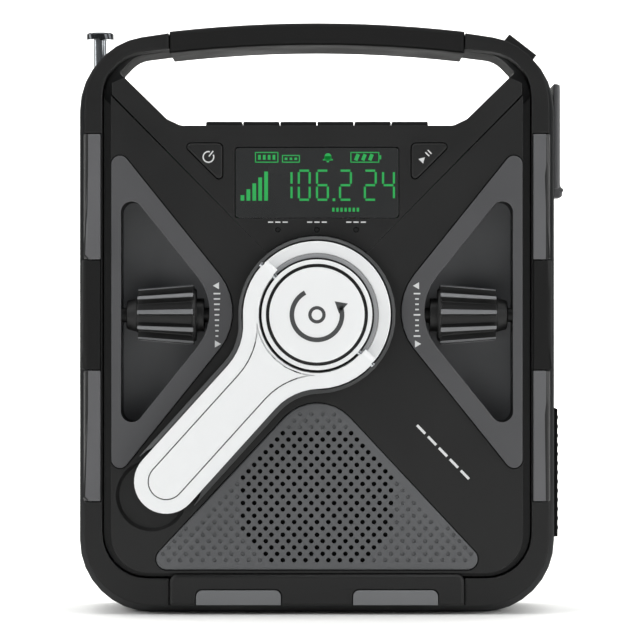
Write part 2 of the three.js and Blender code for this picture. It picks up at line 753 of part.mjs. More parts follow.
const driveTeeth = 40;
const idlerTeeth = 16;
const pinionTeeth = 10;
const toIdler = THREE.MathUtils.degToRad(60);
const toPinion = THREE.MathUtils.degToRad(100);
const hubPlace = new THREE.Vector2(0, hubZ);
const idlerPlace = polar((gearModule * (driveTeeth + idlerTeeth)) / 2, toIdler).add(hubPlace);
const pinionPlace = polar((gearModule * (idlerTeeth + pinionTeeth)) / 2, toPinion).add(idlerPlace);
const idlerPhase = toIdler + Math.PI + Math.PI / idlerTeeth;
const idlerStep = (2 * Math.PI) / idlerTeeth;
const idlerOffset = Math.round((toPinion - idlerPhase) / idlerStep) * idlerStep + idlerPhase - toPinion;
const pinionPhase = toPinion + Math.PI - (idlerOffset * idlerTeeth) / pinionTeeth + Math.PI / pinionTeeth;

add('drive_gear', gear(driveTeeth, toIdler, 0, hubZ, shaftRadius + gap), whiteNylon);
add('idler_gear', join(
  gear(idlerTeeth, idlerPhase, idlerPlace.x, idlerPlace.y, 0),
  rodY(1.5, -19.6, -12, idlerPlace.x, idlerPlace.y, 16),
), whiteNylon);
add('dynamo_pinion', join(
  gear(pinionTeeth, pinionPhase, pinionPlace.x, pinionPlace.y, 0),
  rodY(1, -16, 8, pinionPlace.x, pinionPlace.y, 12),
), brass);

const postPlaces = [[-23, 86.5], [23, 86.5], [-23.5, 128], [24, 128]];
add('gear_plate', cut(
  join(
    plate(rounded([[-26, 83, 4], [26, 83, 4], [26, 146, 4], [-26, 146, 4]]), -13.4, -11.8),
    ...postPlaces.map(([x, z]) => rodY(1.8, -20.4, -13, x, z, 12)),
  ),
  rodY(shaftRadius + gap, -30, 0, 0, hubZ),
  rodY(1.8, -30, 0, idlerPlace.x, idlerPlace.y, 16),
  rodY(1.4, -30, 0, pinionPlace.x, pinionPlace.y, 12),
), steel);
add('dynamo', cut(
  turnedY([[0, -2.8], [5, -2.8], [5, -1], [12, -1], [12, 19], [4, 19], [4, 20.5], [0, 20.5]],
    pinionPlace.x, pinionPlace.y, 28),
  rodY(1.4, -10, 10, pinionPlace.x, pinionPlace.y, 12),
), steel);

// ---- boards, battery and sockets ----
add('main_board', cut(
  plate(rounded([[-62, 74, 2], [62, 74, 2], [62, 154, 2], [-62, 154, 2]]), -5, -3.4),
  rodY(5.6, -10, 0, pinionPlace.x, pinionPlace.y),
), boardGreen);
const uprightPlate = (halfWidth, [lowZ, highZ], radius) => rounded([
  [-halfWidth, lowZ, radius], [halfWidth, lowZ, radius],
  [halfWidth, highZ, radius], [-halfWidth, highZ, radius],
]);
const batteryZ = [doorZ[0] + 2.5, doorZ[1] - 2.5];
add('battery_pack', plate(uprightPlate(doorHalfWidth - 3, batteryZ, 3), 8, 22.4), steel);
const doorFrontY = shellBackY - 2.1;
const doorOutline = uprightPlate(doorHalfWidth, doorZ, 3);
add('battery_door', chamferedPlate(doorOutline, doorFrontY, shellBackY, 0.5), satinShell);
add('solar_panel', plate(uprightPlate(solarHalfWidth, solarZ, 2), solarBackY, shellBackY), glassClear);
add('port_block', cut(
  block(68.2, 78.6, portMiddleY - portHalfDepth, portMiddleY + portHalfDepth, ...portBlockZ),
  block(72, 85, portMiddleY - 3.15, portMiddleY + 3.15, ...usbSocketZ),
  rodX(2.8, 72, 85, portMiddleY, phonesZ, 16),
), blackPlastic);
const coverHalfDepth = 8.55;
const tabLength = 3;
add('port_cover', join(
  block(portCoverX, portCoverX + 2.3, portMiddleY - coverHalfDepth, portMiddleY + coverHalfDepth,
    ...portCoverZ),
  block(portCoverX, portCoverX + 3.3, -4, 7.5, portCoverZ[0] - tabLength, portCoverZ[0] + 0.2),
), greyPlastic);
add('side_strip', block(79.15, 80.8, -5.5, 7, 24.5, 67.5), softRubber);

// ---- flashlight ----
const flashlight = new THREE.Group();
flashlight.position.set(flashlightPlace.x, 0, flashlightPlace.y);
flashlight.rotation.y = flashlightTurn;
radio.add(flashlight);
function lampBlock(inset, fromZ, toZ) {
  const halfWidth = flashlightWidth / 2 - inset;
  const halfDepth = flashlightDepth / 2 - inset;
  return block(flashlightOffset - halfWidth, flashlightOffset + halfWidth, -halfDepth, halfDepth, fromZ, toZ);
}
add('flashlight_bezel', cut(
  lampBlock(0, flashlightSeat, flashlightTop),
  lampBlock(1.2, flashlightTop - 2.6, 40),
), blackPlastic, flashlight);
add('flashlight_lens', lampBlock(1.5, flashlightTop - 2.2, flashlightTop - 0.3), glassClear, flashlight);

// ---- telescopic antenna ----
const tubeTopZ = 178; // each stage stands a little further out of the one round it
const outerTubeProfile = [
  [0, antennaPivotZ], [3.4, antennaPivotZ], [3.4, 45], [3, 46],
  [3, tubeTopZ], [2.5, tubeTopZ], [2.5, 47], [0, 47],
];
add('antenna_outer_tube', join(
  rodX(4.5, antennaX - 4.4, antennaX + 4.4, antennaY, antennaPivotZ, 24),
  rodX(1.5, antennaX + 4, -65.5, antennaY, antennaPivotZ, 12),
  turnedZ(outerTubeProfile, antennaX, antennaY),
), steel);
add('antenna_middle_tube', turnedZ(
  [[0, 48], [2.3, 48], [2.3, tubeTopZ + 3], [1.8, tubeTopZ + 3], [1.8, 49.5], [0, 49.5]], antennaX, antennaY,
), steel);
const capTopZ = antennaCapZ + 2.4;
const tipRodProfile = [
  [0, 50.5], [1.5, 50.5], [1.5, tubeTopZ + 4], [2.2, tubeTopZ + 4.6], [2.2, antennaCapZ], [4.7, antennaCapZ],
  [4.7, capTopZ - 0.5], [4.2, capTopZ], [0, capTopZ],
];
add('antenna_tip_rod', turnedZ(tipRodProfile, antennaX, antennaY, 20), steel);

export default radio;
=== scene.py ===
import json
import math

import bmesh
import bpy
from mathutils import Matrix, Vector
from mathutils.bvhtree import BVHTree


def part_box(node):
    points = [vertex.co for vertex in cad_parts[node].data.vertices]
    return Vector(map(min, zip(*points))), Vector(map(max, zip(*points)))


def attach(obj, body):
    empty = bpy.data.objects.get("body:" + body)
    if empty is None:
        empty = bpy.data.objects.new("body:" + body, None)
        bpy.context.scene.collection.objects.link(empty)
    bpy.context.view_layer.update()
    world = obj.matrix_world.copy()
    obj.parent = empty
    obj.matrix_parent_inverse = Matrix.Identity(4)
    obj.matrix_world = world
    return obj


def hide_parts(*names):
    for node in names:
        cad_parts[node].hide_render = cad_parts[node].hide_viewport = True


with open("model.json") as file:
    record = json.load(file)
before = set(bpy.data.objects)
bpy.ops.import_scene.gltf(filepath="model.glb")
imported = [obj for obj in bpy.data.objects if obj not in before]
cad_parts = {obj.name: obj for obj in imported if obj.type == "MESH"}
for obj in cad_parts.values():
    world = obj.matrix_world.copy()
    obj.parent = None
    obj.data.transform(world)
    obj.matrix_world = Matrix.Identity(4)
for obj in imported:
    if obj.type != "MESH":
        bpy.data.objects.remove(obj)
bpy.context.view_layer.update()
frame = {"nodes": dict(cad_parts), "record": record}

scene = bpy.context.scene
mm = 0.001


camera = {"distance": 1.185, "lens": 197.7, "x": 0.001, "z": 0.0972}

def setCamera():
    data = bpy.data.cameras.new("frontCamera")
    data.lens = camera["lens"]
    data.clip_end = 20
    eye = bpy.data.objects.new("frontCamera", data)
    eye.location = (camera["x"], -camera["distance"], camera["z"])
    eye.rotation_euler = (math.radians(90), 0, 0)
    scene.collection.objects.link(eye)
    scene.camera = eye


def addNode(tree, kind, settings=None, links=None):
    node = tree.nodes.new(kind)
    for name, value in (settings or {}).items():
        if isinstance(name, int) or name in node.inputs:
            node.inputs[name].default_value = value
        else:
            setattr(node, name, value)
    for name, source in (links or {}).items():
        tree.links.new(source, node.inputs[name])
    return node


def toLinear(hexColour):
    digits = hexColour.lstrip("#")
    parts = [int(digits[i:i + 2], 16) / 255 for i in (0, 2, 4)]
    return tuple(p / 12.92 if p <= 0.04045 else ((p + 0.055) / 1.055) ** 2.4 for p in parts) + (1,)


# The sweep stands well behind every camera that looks at the back.
floor = {"size": 14.0, "back": 4.2, "bend": 1.4, "bendSteps": 16, "rise": 3, "colour": "#f4f4f2",
         "roughness": 0.9, "world": "#eef1f4", "worldStrength": 0.26, "seen": "#ffffff"}

def setFloor():
    mesh = bmesh.new()
    half = floor["size"] / 2
    back = floor["back"]
    rim = [mesh.verts.new((x, -half, 0)) for x in (-half, half)]
    edge = mesh.edges.new(rim)
    swept = bmesh.ops.extrude_edge_only(mesh, edges=[edge])["geom"]
    moved = [v for v in swept if isinstance(v, bmesh.types.BMVert)]
    bmesh.ops.translate(mesh, verts=moved, vec=(0, half + back, 0))
    far = [e for e in swept if isinstance(e, bmesh.types.BMEdge) and all(v in moved for v in e.verts)]
    bend = bmesh.ops.spin(
        mesh, geom=far + moved, cent=(0, back, floor["bend"]), axis=(1, 0, 0), angle=math.radians(90),
        steps=floor["bendSteps"])
    last = [g for g in bend["geom_last"] if isinstance(g, bmesh.types.BMEdge)]
    up = bmesh.ops.extrude_edge_only(mesh, edges=last)["geom"]
    top = [v for v in up if isinstance(v, bmesh.types.BMVert)]
    bmesh.ops.translate(mesh, verts=top, vec=(0, 0, floor["rise"]))
    for face in mesh.faces:
        face.smooth = True
    data = bpy.data.meshes.new("studioFloor")
    mesh.to_mesh(data)
    mesh.free()
    sweep = bpy.data.objects.new("studioFloor", data)
    scene.collection.objects.link(sweep)
    paper = bpy.data.materials.new("paleStudioPaper")
    paper.use_nodes = True
    shader = paper.node_tree.nodes["Principled BSDF"]
    shader.inputs["Base Color"].default_value = toLinear(floor["colour"])
    shader.inputs["Roughness"].default_value = floor["roughness"]
    data.materials.append(paper)


lamps = {
    "keyLeft": {"place": (-1.1, -0.9, 0.95), "aim": (0, 0, 0.1), "size": (0.7, 0.9), "watts": 7},
    "fillRight": {"place": (1.15, -0.85, 0.55), "aim": (0, 0, 0.1), "size": (0.6, 0.9), "watts": 6},
    "topSoft": {"place": (0, -0.1, 1.25), "aim": (0, 0, 0.1), "size": (1.3, 0.6), "watts": 9},
    "rimLeft": {"place": (-0.8, 0.05, 0.3), "aim": (0, 0, 0.12), "size": (0.3, 0.9), "watts": 3.4},
    "rimRight": {"place": (0.8, 0.05, 0.3), "aim": (0, 0, 0.12), "size": (0.3, 0.9), "watts": 3.4},
    "backdropWash": {"place": (0, 1.5, 2.6), "aim": (0, 4.6, 0.1), "size": (5, 1.6), "watts": 420},
}

def setLights():
    for name, lamp in lamps.items():
        data = bpy.data.lights.new(name, "AREA")
        data.shape = "RECTANGLE"
        data.size, data.size_y = lamp["size"]
        data.energy = lamp["watts"]
        light = bpy.data.objects.new(name, data)
        light.location = lamp["place"]
        direction = Vector(lamp["aim"]) - Vector(lamp["place"])
        light.rotation_euler = direction.to_track_quat("-Z", "Y").to_euler()
        scene.collection.objects.link(light)
    world = bpy.data.worlds.new("studioWorld")
    world.use_nodes = True
    tree = world.node_tree
    sky = tree.nodes["Background"]
    sky.inputs["Color"].default_value = toLinear(floor["world"])
    sky.inputs["Strength"].default_value = floor["worldStrength"]
    # seen directly the room is white, but it lights softly
    seen = addNode(tree, "ShaderNodeBackground", {"Color": toLinear(floor["seen"]), "Strength": 1.0})
    ray = addNode(tree, "ShaderNodeLightPath")
    both = addNode(tree, "ShaderNodeMixShader", {}, {
        0: ray.outputs["Is Camera Ray"], 1: sky.outputs["Background"], 2: seen.outputs["Background"]})
    tree.links.new(both.outputs["Shader"], tree.nodes["World Output"].inputs["Surface"])
    scene.world = world


setCamera()
setFloor()
setLights()
scene.view_settings.view_transform = "Standard"
print("studio ready")


# What a finish has unless its own look says otherwise; lengths in millimetres.
usual = {
    "patch": 22, "patchDetail": 3, "patchSpread": (0.35, 0.65), "grainDetail": 2, "grainRoughness": 0.6,
    "depth": 0.05, "edgeWidth": 0.45, "edgeAmount": 0.5, "edgeSpread": (0.995, 0.90), "bevelSamples": 4,
    "metallic": 0, "coatRoughness": 0.15,
}

# Every finish is a base colour with slow variation, a fine grain in the bump, patches in the
# roughness, and a paler or darker tone worn into the edges.
def finish(name, look):
    look = {**usual, **look}
    material = bpy.data.materials.new(name)
    material.use_nodes = True
    tree = material.node_tree
    shader = tree.nodes["Principled BSDF"]
    place = addNode(tree, "ShaderNodeTexCoord").outputs["Object"]
    slow = addNode(tree, "ShaderNodeTexNoise", {
        "Scale": 1 / (look["patch"] * mm), "Detail": look["patchDetail"]}, {"Vector": place})
    tone = addNode(tree, "ShaderNodeMix", {
        "data_type": "RGBA", 6: toLinear(look["colour"]), 7: toLinear(look["second"])},
        {0: slow.outputs["Fac"]})
    paint = tone.outputs[2]
    grainPlace = place
    if "stretch" in look:
        mapped = addNode(tree, "ShaderNodeMapping", {"Scale": look["stretch"]}, {"Vector": place})
        grainPlace = mapped.outputs["Vector"]
    grain = addNode(tree, "ShaderNodeTexNoise", {
        "Scale": 1 / (look["grain"] * mm), "Detail": look["grainDetail"],
        "Roughness": look["grainRoughness"]}, {"Vector": grainPlace})
    if "edge" in look:
        soft = addNode(tree, "ShaderNodeBevel", {
            "samples": look["bevelSamples"], "Radius": look["edgeWidth"] * mm})
        true = addNode(tree, "ShaderNodeNewGeometry")
        match = addNode(tree, "ShaderNodeVectorMath", {"operation": "DOT_PRODUCT"},
                        {0: soft.outputs["Normal"], 1: true.outputs["Normal"]})
        flat, bent = look["edgeSpread"]
        worn = addNode(tree, "ShaderNodeMapRange", {1: flat, 2: bent, 3: 0.0, 4: look["edgeAmount"]},
                       {0: match.outputs["Value"]})
        broken = addNode(tree, "ShaderNodeMath", {"operation": "MULTIPLY"},
                         {0: worn.outputs[0], 1: slow.outputs["Fac"]})
        edged = addNode(tree, "ShaderNodeMix", {"data_type": "RGBA", 7: toLinear(look["edge"])},
                        {0: broken.outputs[0], 6: paint})
        paint = edged.outputs[2]
    tree.links.new(paint, shader.inputs["Base Color"])
    smooth, rough = look["roughness"]
    low, high = look["patchSpread"]
    patches = addNode(tree, "ShaderNodeMapRange", {1: low, 2: high, 3: smooth, 4: rough},
                      {0: slow.outputs["Fac"]})
    tree.links.new(patches.outputs[0], shader.inputs["Roughness"])
    bump = addNode(tree, "ShaderNodeBump", {"Strength": look["bump"], "Distance": look["depth"] * mm},
                   {"Height": grain.outputs["Fac"]})
    if "round" in look:
        soft = addNode(tree, "ShaderNodeBevel", {
            "samples": look["bevelSamples"], "Radius": look["round"] * mm})
        tree.links.new(soft.outputs["Normal"], bump.inputs["Normal"])
    tree.links.new(bump.outputs["Normal"], shader.inputs["Normal"])
    shader.inputs["Metallic"].default_value = look["metallic"]
    named = {"ior": "IOR", "specular": "Specular IOR Level", "transmission": "Transmission Weight"}
    for key, slot in named.items():
        if key in look:
            shader.inputs[slot].default_value = look[key]
    if "coat" in look:
        shader.inputs["Coat Weight"].default_value = look["coat"]
        shader.inputs["Coat Roughness"].default_value = look["coatRoughness"]
    if "glow" in look:
        shader.inputs["Emission Color"].default_value = toLinear(look["glow"])
        shader.inputs["Emission Strength"].default_value = look["glowStrength"]
    return material


# Spark-eroded ABS mouldings: near black, with a fine matt grain that breaks up highlights. The same black is
# painted shade on the side walls of the bezels' recesses.
blackAbsAndPaintedShade = finish("mouldedBlackAbsAndPaintedShade", {
    "colour": "#191919", "second": "#1d1d1d", "roughness": (0.42, 0.52), "grain": 0.35, "bump": 0.25,
    "edge": "#4a4b4c", "edgeAmount": 0.3, "ior": 1.53, "specular": 0.3, "round": 0.4})
# The bumper's ABS is the same, with a fuller radius on its edges.
bumperAbs = finish("mouldedBumperAbs", {
    "colour": "#171717", "second": "#1b1b1b", "roughness": (0.42, 0.52), "grain": 0.35, "bump": 0.25,
    "edge": "#454647", "edgeAmount": 0.3, "ior": 1.53, "specular": 0.28, "round": 1.0})
# The same plastic polished smoother, for the shell that wraps the back.
satinShell = finish("satinBlackShell", {
    "colour": "#191a1b", "second": "#1e1f20", "roughness": (0.3, 0.4), "grain": 0.5, "bump": 0.12,
    "edge": "#56575a", "edgeAmount": 0.3, "ior": 1.53, "coat": 0.16, "coatRoughness": 0.25,
    "specular": 0.4, "round": 1.3})
# Soft-touch overmoulding: dull and even, it takes up finger marks as duller patches.
softRubber = finish("softTouchRubber", {
    "colour": "#1a1a1a", "second": "#1f1f1f", "roughness": (0.6, 0.75), "grain": 0.28, "bump": 0.35,
    "ior": 1.5, "specular": 0.12})
# Mid grey ABS with the same spark-eroded grain.
greyAbs = finish("mouldedGreyAbs", {
    "colour": "#4a4a4c", "second": "#505052", "roughness": (0.48, 0.6), "grain": 0.35, "bump": 0.3,
    "specular": 0.35, "edge": "#8b8c8e", "edgeAmount": 0.4, "ior": 1.53, "round": 0.4})
# The same grey in the bumper's inserts, handled more and a shade paler.
insertAbs = finish("mouldedPaleInsertAbs", {
    "colour": "#5a5a5c", "second": "#616163", "roughness": (0.46, 0.58), "grain": 0.35, "bump": 0.3,
    "specular": 0.35, "edge": "#8f9092", "edgeAmount": 0.4, "ior": 1.53})
# The grille's own grey moulding: even and matt, so that the holes read as black dots.
grilleAbs = finish("grilleGreyAbs", {
    "colour": "#525355", "second": "#5a5b5d", "roughness": (0.5, 0.62), "grain": 0.3, "bump": 0.3,
    "ior": 1.53})
# The floor of the recess behind the rollers: a paler grey than the rim, painted light in the recess's shade;
# matt, with a coarser spark-eroded grain than the rim.
recessPaintedLightAbs = finish("recessPaintedLightGreyAbs", {
    "colour": "#727375", "second": "#797a7c", "roughness": (0.58, 0.7), "grain": 0.4, "bump": 0.3,
    "ior": 1.53, "specular": 0.3})
# Flat tops of the roller's ribs, painted a lighter grey as a highlight where light falls on them.
ribTopHighlightAbs = finish("ribTopHighlightGreyAbs", {
    "colour": "#6d6e70", "second": "#77787a", "roughness": (0.4, 0.52), "grain": 0.3, "bump": 0.2,
    "ior": 1.53, "patch": 6})
# The plinth round the hub: dark grey moulding, a little paler than the panel.
plinthAbs = finish("mouldedDarkGreyAbs", {
    "colour": "#333435", "second": "#393a3b", "roughness": (0.45, 0.56), "grain": 0.35, "bump": 0.25,
    "ior": 1.53, "edge": "#5c5d5f", "edgeAmount": 0.4, "round": 0.35})
# The step inside the silver ring: the same paint darkened to grey as painted shade on the recessed step, and
# duller.
stepShadePaint = finish("dullSilverStepShade", {
    "colour": "#98999b", "second": "#a0a1a3", "roughness": (0.5, 0.6), "grain": 0.25, "bump": 0.05,
    "ior": 1.5})
# Pads under the front edge: a paler moulding with the same grain.
footAbs = finish("paleGreyAbs", {
    "colour": "#6b6c6e", "second": "#737476", "roughness": (0.48, 0.6), "grain": 0.35, "bump": 0.3,
    "ior": 1.53, "edge": "#9a9b9d", "edgeAmount": 0.4})
# Dull black TPE of the strip and seals on the sides. The same finish is painted shade on the faces under the
# handle: the shell's loop, the grip's underside and the bumper's top bar.
sideRubberAndUndersideShade = finish("matteBlackTpeAndUndersideShade", {
    "colour": "#0f0f0f", "second": "#141414", "roughness": (0.66, 0.8), "grain": 0.3, "bump": 0.3,
    "ior": 1.5, "specular": 0.08})
# Smoked light pipe: it shows as a dark dot while its lamp is off.
smokedPipe = finish("smokedLightPipe", {
    "colour": "#141414", "second": "#1a1a1a", "roughness": (0.15, 0.25), "grain": 0.5, "bump": 0.02,
    "ior": 1.49})
# Chrome on the antenna's brass tubes, dulled by handling.
tubeChrome = finish("handledChromeTube", {
    "colour": "#8b8e91", "second": "#7f8285", "roughness": (0.16, 0.3), "grain": 0.5, "bump": 0.03,
    "metallic": 1, "stretch": (1, 1, 0.1)})
# Black chrome over brass: it mirrors the room, but darkly.
darkChrome = finish("blackChromePlate", {
    "colour": "#4c4e50", "second": "#424446", "roughness": (0.16, 0.26), "grain": 0.5, "bump": 0.03,
    "metallic": 1})
# Pearl white paint over a moulded arm: bright and even, with a soft sheen and no sparkle.
silverPaint = finish("pearlWhitePaint", {
    "colour": "#ebeced", "second": "#eff0f0", "roughness": (0.36, 0.42), "grain": 0.25, "bump": 0.04,
    "patch": 60, "edge": "#fafafa", "edgeAmount": 0.3, "ior": 1.5, "specular": 0.4, "round": 0.3})
# Polished chrome of the flashlight's dish: a sharp, bright mirror.
chromeTrim = finish("polishedChromeTrim", {
    "colour": "#dfe1e3", "second": "#d3d6d9", "roughness": (0.12, 0.2), "grain": 0.6, "bump": 0.02,
    "metallic": 1})
# Nickel-plated steel of pins and screws: a cool, slightly blurred mirror.
brightSteel = finish("nickelPlatedSteel", {
    "colour": "#c9ccd0", "second": "#b6b9bd", "roughness": (0.14, 0.26), "grain": 0.4, "bump": 0.06,
    "metallic": 1})
# Turned brass: warm yellow with soft lathe-dulled reflections.
brassTurned = finish("turnedBrass", {
    "colour": "#c2a15a", "second": "#ad8c48", "roughness": (0.28, 0.4), "grain": 0.3, "bump": 0.1,
    "metallic": 1})
# Smoke-tinted acrylic: nearly black, with one clear reflection of the lamps.
smokeWindow = finish("smokeTintWindow", {
    "colour": "#242525", "second": "#282929", "roughness": (0.14, 0.2), "grain": 1.2, "bump": 0.02,
    "ior": 1.49, "coat": 0.5})
# Undyed nylon: a warm off-white, slightly waxy.
nylonWhite = finish("naturalNylon", {
    "colour": "#e4dfd0", "second": "#d8d2c0", "roughness": (0.4, 0.55), "grain": 0.4, "bump": 0.15,
    "ior": 1.53})
# Solder mask on a circuit board: deep green and half glossy.
boardMask = finish("solderMaskGreen", {
    "colour": "#1c5234", "second": "#23603f", "roughness": (0.3, 0.5), "grain": 0.8, "bump": 0.2,
    "ior": 1.5})
# Heat-shrink sleeve of the battery pack: smooth blue film with a broad shine.
batteryWrap = finish("heatShrinkBlue", {
    "colour": "#35588a", "second": "#2d4d7c", "roughness": (0.25, 0.4), "grain": 1.4, "bump": 0.2,
    "ior": 1.5})
# Glass of the display while dark: a greenish black, still and flat.
lcdDark = finish("displayGlassDark", {
    "colour": "#262a28", "second": "#2b2f2d", "roughness": (0.25, 0.35), "grain": 0.9, "bump": 0.03,
    "ior": 1.5})
# Lit segments: green with a faint glow of their own, so that they show through the dark.
lcdGreen = finish("displaySegmentGreen", {
    "colour": "#1a8a40", "second": "#1f9648", "roughness": (0.4, 0.5), "grain": 0.5, "bump": 0.02,
    "glow": "#1fa54c", "glowStrength": 0.3})
# Pad-printed white ink: flat and a little uneven.
whiteInk = finish("padPrintedWhite", {
    "colour": "#dfe0e0", "second": "#cfd0d0", "roughness": (0.5, 0.6), "grain": 0.25, "bump": 0.1})
# Pad-printed dark ink: a flat grey-black on the pale paint. The same grey-black is painted shade in the
# groove round the crank arm's inlay.
darkInkAndGrooveShade = finish("padPrintedDarkAndGrooveShade", {
    "colour": "#3a3b3c", "second": "#454647", "roughness": (0.5, 0.6), "grain": 0.25, "bump": 0.1})
# Silicon cells under their laminate: blue-black, glossy like wet slate.
solarCell = finish("solarSiliconBlue", {
    "colour": "#141a2e", "second": "#1c2440", "roughness": (0.12, 0.2), "grain": 1.0, "bump": 0.04,
    "coat": 0.8, "ior": 1.5})
# Clear acrylic: it bends what lies behind and flashes at its edge.
clearLens = finish("clearAcrylicLens", {
    "colour": "#f2f6f8", "second": "#eef3f6", "roughness": (0.03, 0.06), "grain": 1.5, "bump": 0.02,
    "ior": 1.49, "transmission": 0.9})
# Open black cloth behind the holes: no shine at all.
speakerCloth = finish("wovenSpeakerCloth", {
    "colour": "#0c0c0c", "second": "#121212", "roughness": (0.8, 0.95), "grain": 0.4, "bump": 0.6,
    "ior": 1.45})

slotFinish = {
    "black_abs": blackAbsAndPaintedShade, "satin_shell": satinShell, "soft_rubber": softRubber, "grey_abs": greyAbs,
    "grille_grey": grilleAbs, "silver_metal": silverPaint, "bright_steel": brightSteel,
    "battery_wrap": batteryWrap, "brass": brassTurned, "tinted_window": smokeWindow,
    "clear_lens": clearLens, "lcd": lcdDark, "board": boardMask, "white_nylon": nylonWhite,
}
slotOf = {row["node"]: row["material_slot"] for row in frame["record"]["subparts"]}
bodyOf = {node: body for body, nodes in frame["record"]["behaviour"]["bodies"].items() for node in nodes}
print("materials ready")


def addPiece(name, mesh, material, body, replaced=()):
    data = bpy.data.meshes.new(name)
    mesh.to_mesh(data)
    mesh.free()
    data.materials.append(material)
    piece = bpy.data.objects.new(name, data)
    scene.collection.objects.link(piece)
    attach(piece, body)
    if replaced:
        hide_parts(*replaced)
    return piece


# A sliver folded flat over its neighbour still shares its normals.
def smoothMesh(mesh, angle=34, folded=165):
    for face in mesh.faces:
        face.smooth = True
    for edge in mesh.edges:
        bend = math.degrees(edge.calc_face_angle(0)) if edge.is_manifold else 90
        edge.smooth = bend < angle or bend > folded


def weighNormals(piece):
    weighted = piece.modifiers.new("weighted", "WEIGHTED_NORMAL")
    weighted.keep_sharp = True
    weighted.weight = 85


def middle(node):
    low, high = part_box(node)
    return (Vector(low) + Vector(high)) / 2


# A CAD node's copy with its loose triangles merged.
def cadCopy(node):
    mesh = bmesh.new()
    mesh.from_mesh(frame["nodes"][node].data)
    bmesh.ops.remove_doubles(mesh, verts=mesh.verts, dist=0.01 * mm)
    bmesh.ops.dissolve_degenerate(mesh, edges=mesh.edges, dist=0.005 * mm)
    bmesh.ops.recalc_face_normals(mesh, faces=mesh.faces)
    return mesh


def roundEdges(mesh, width, segments=3, sharp=30, choose=None):
    edges = [e for e in mesh.edges if e.is_manifold and e.calc_face_angle(0) > math.radians(sharp)]
    if choose:
        edges = [e for e in edges if choose(e)]
    bmesh.ops.bevel(
        mesh, geom=edges, offset=width * mm, offset_type="OFFSET", segments=segments, profile=0.5,
        affect="EDGES", clamp_overlap=False, loop_slide=False, material=-1)


# The node stands as a moulding: first any edges with a larger round of their own, then all the rest.
def carry(node, width, larger=None):
    mesh = cadCopy(node)
    if larger:
        roundEdges(mesh, larger["width"], larger["segments"], choose=larger["choose"])
    if width:
        roundEdges(mesh, width)
    smoothMesh(mesh)
    look = ownFinish.get(node, slotFinish[slotOf[node]])
    piece = addPiece(node + "_moulded", mesh, look, bodyOf[node], (node,))
    weighNormals(piece)
    return piece


# Gives the chosen faces of a piece a second finish.
def repaint(piece, material, choose):
    piece.data.materials.append(material)
    last = len(piece.data.materials) - 1
    for face in piece.data.polygons:
        if choose(face.center, face.normal):
            face.material_index = last


ownFinish = {
    "crank_plinth": plinthAbs, "bumper_frame": bumperAbs,
    "foot_insert_left": footAbs, "foot_insert_right": footAbs, "side_strip": sideRubberAndUndersideShade,
    "light_pipe": smokedPipe,
    "antenna_outer_tube": tubeChrome, "antenna_middle_tube": tubeChrome, "antenna_tip_rod": tubeChrome,
}
for side in ("left", "right"):
    for height in ("upper", "lower"):
        ownFinish[f"side_insert_{side}_{height}"] = insertAbs
for node, part in frame["nodes"].items():
    part.data.materials.clear()
    part.data.materials.append(ownFinish.get(node, slotFinish[slotOf[node]]))

# Widths in millimetres; where many cuts meet it is 0 and the material's own round does it.
softened = {
    "bumper_frame": 0, "rear_shell": 0, "front_panel": 0, "display_fascia": 0, "handle_grip": 0.3,
    "side_insert_left_upper": 0.35, "side_insert_left_lower": 0.35, "side_insert_right_upper": 0.35,
    "side_insert_right_lower": 0.35, "side_pad_left": 0.4, "side_pad_right": 0.4, "bottom_guard": 0.25,
    "foot_insert_left": 0.3, "foot_insert_right": 0.3, "volume_bezel": 0, "tuning_bezel": 0,
    "crank_plinth": 0, "power_button": 0.5, "play_button": 0.5, "port_cover": 0.35, "side_strip": 0.4,
    "battery_door": 0.2, "display_window": 0.1, "flashlight_bezel": 0.35, "crank_arm": 0,
    "crank_arm_inlay": 0.12, "crank_knob": 0.2, "crank_hinge_pin": 0.2,
}
for number in range(1, 7):
    softened[f"key_{number}"] = 0.45

rounds = {"insertCorner": 1.5, "padCorner": 1.7, "gripEnd": 1.3, "coverEdge": 1.4}

def within(edge, test):
    return all(test(abs(v.co.x) / mm, v.co.y / mm, v.co.z / mm) for v in edge.verts)


def largerRounds():
    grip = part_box("handle_grip")
    gripEnd = grip[1][0] / mm
    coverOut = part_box("port_cover")[1][0] / mm
    chosen = {
        "handle_grip": ("gripEnd", lambda x, y, z: x > gripEnd - 0.1 and y < grip[0][1] / mm + 1.2),
        "port_cover": ("coverEdge", lambda x, y, z: x > coverOut - 1.2),
    }
    for side in ("left", "right"):
        for node, kind in (
                (f"side_insert_{side}_upper", "insertCorner"), (f"side_insert_{side}_lower", "insertCorner"),
                (f"side_pad_{side}", "padCorner")):
            low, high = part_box(node)
            out, front = max(abs(low[0]), abs(high[0])) / mm, low[1] / mm
            chosen[node] = (kind, lambda x, y, z, out=out, front=front: x > out - 0.1 and y < front + 0.1)
    return {
        node: {"width": rounds[kind], "segments": 5, "choose": lambda edge, test=test: within(edge, test)}
        for node, (kind, test) in chosen.items()}


larger = largerRounds()
moulded = {node: carry(node, width, larger.get(node)) for node, width in softened.items()}

inlay = cadCopy("crank_arm_inlay")
inlayTree = BVHTree.FromBMesh(inlay)
inlay.free()
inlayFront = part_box("crank_arm_inlay")[0][1]
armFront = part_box("crank_arm")[0][1]

# Where a second finish starts, in millimetres: mostly painted shade, and painted light on the recess floors.
painted = {
    "inlayReach": 0.5, "pocketFrom": 0.3, "pocketTo": 0.9, "pocketClear": 21, "loopFloor": 158,
    "loopHalf": 66, "loopBack": 14.4, "underBar": 150, "insertSide": 75.5, "recessFloor": 12, "recessWall": 2,
}

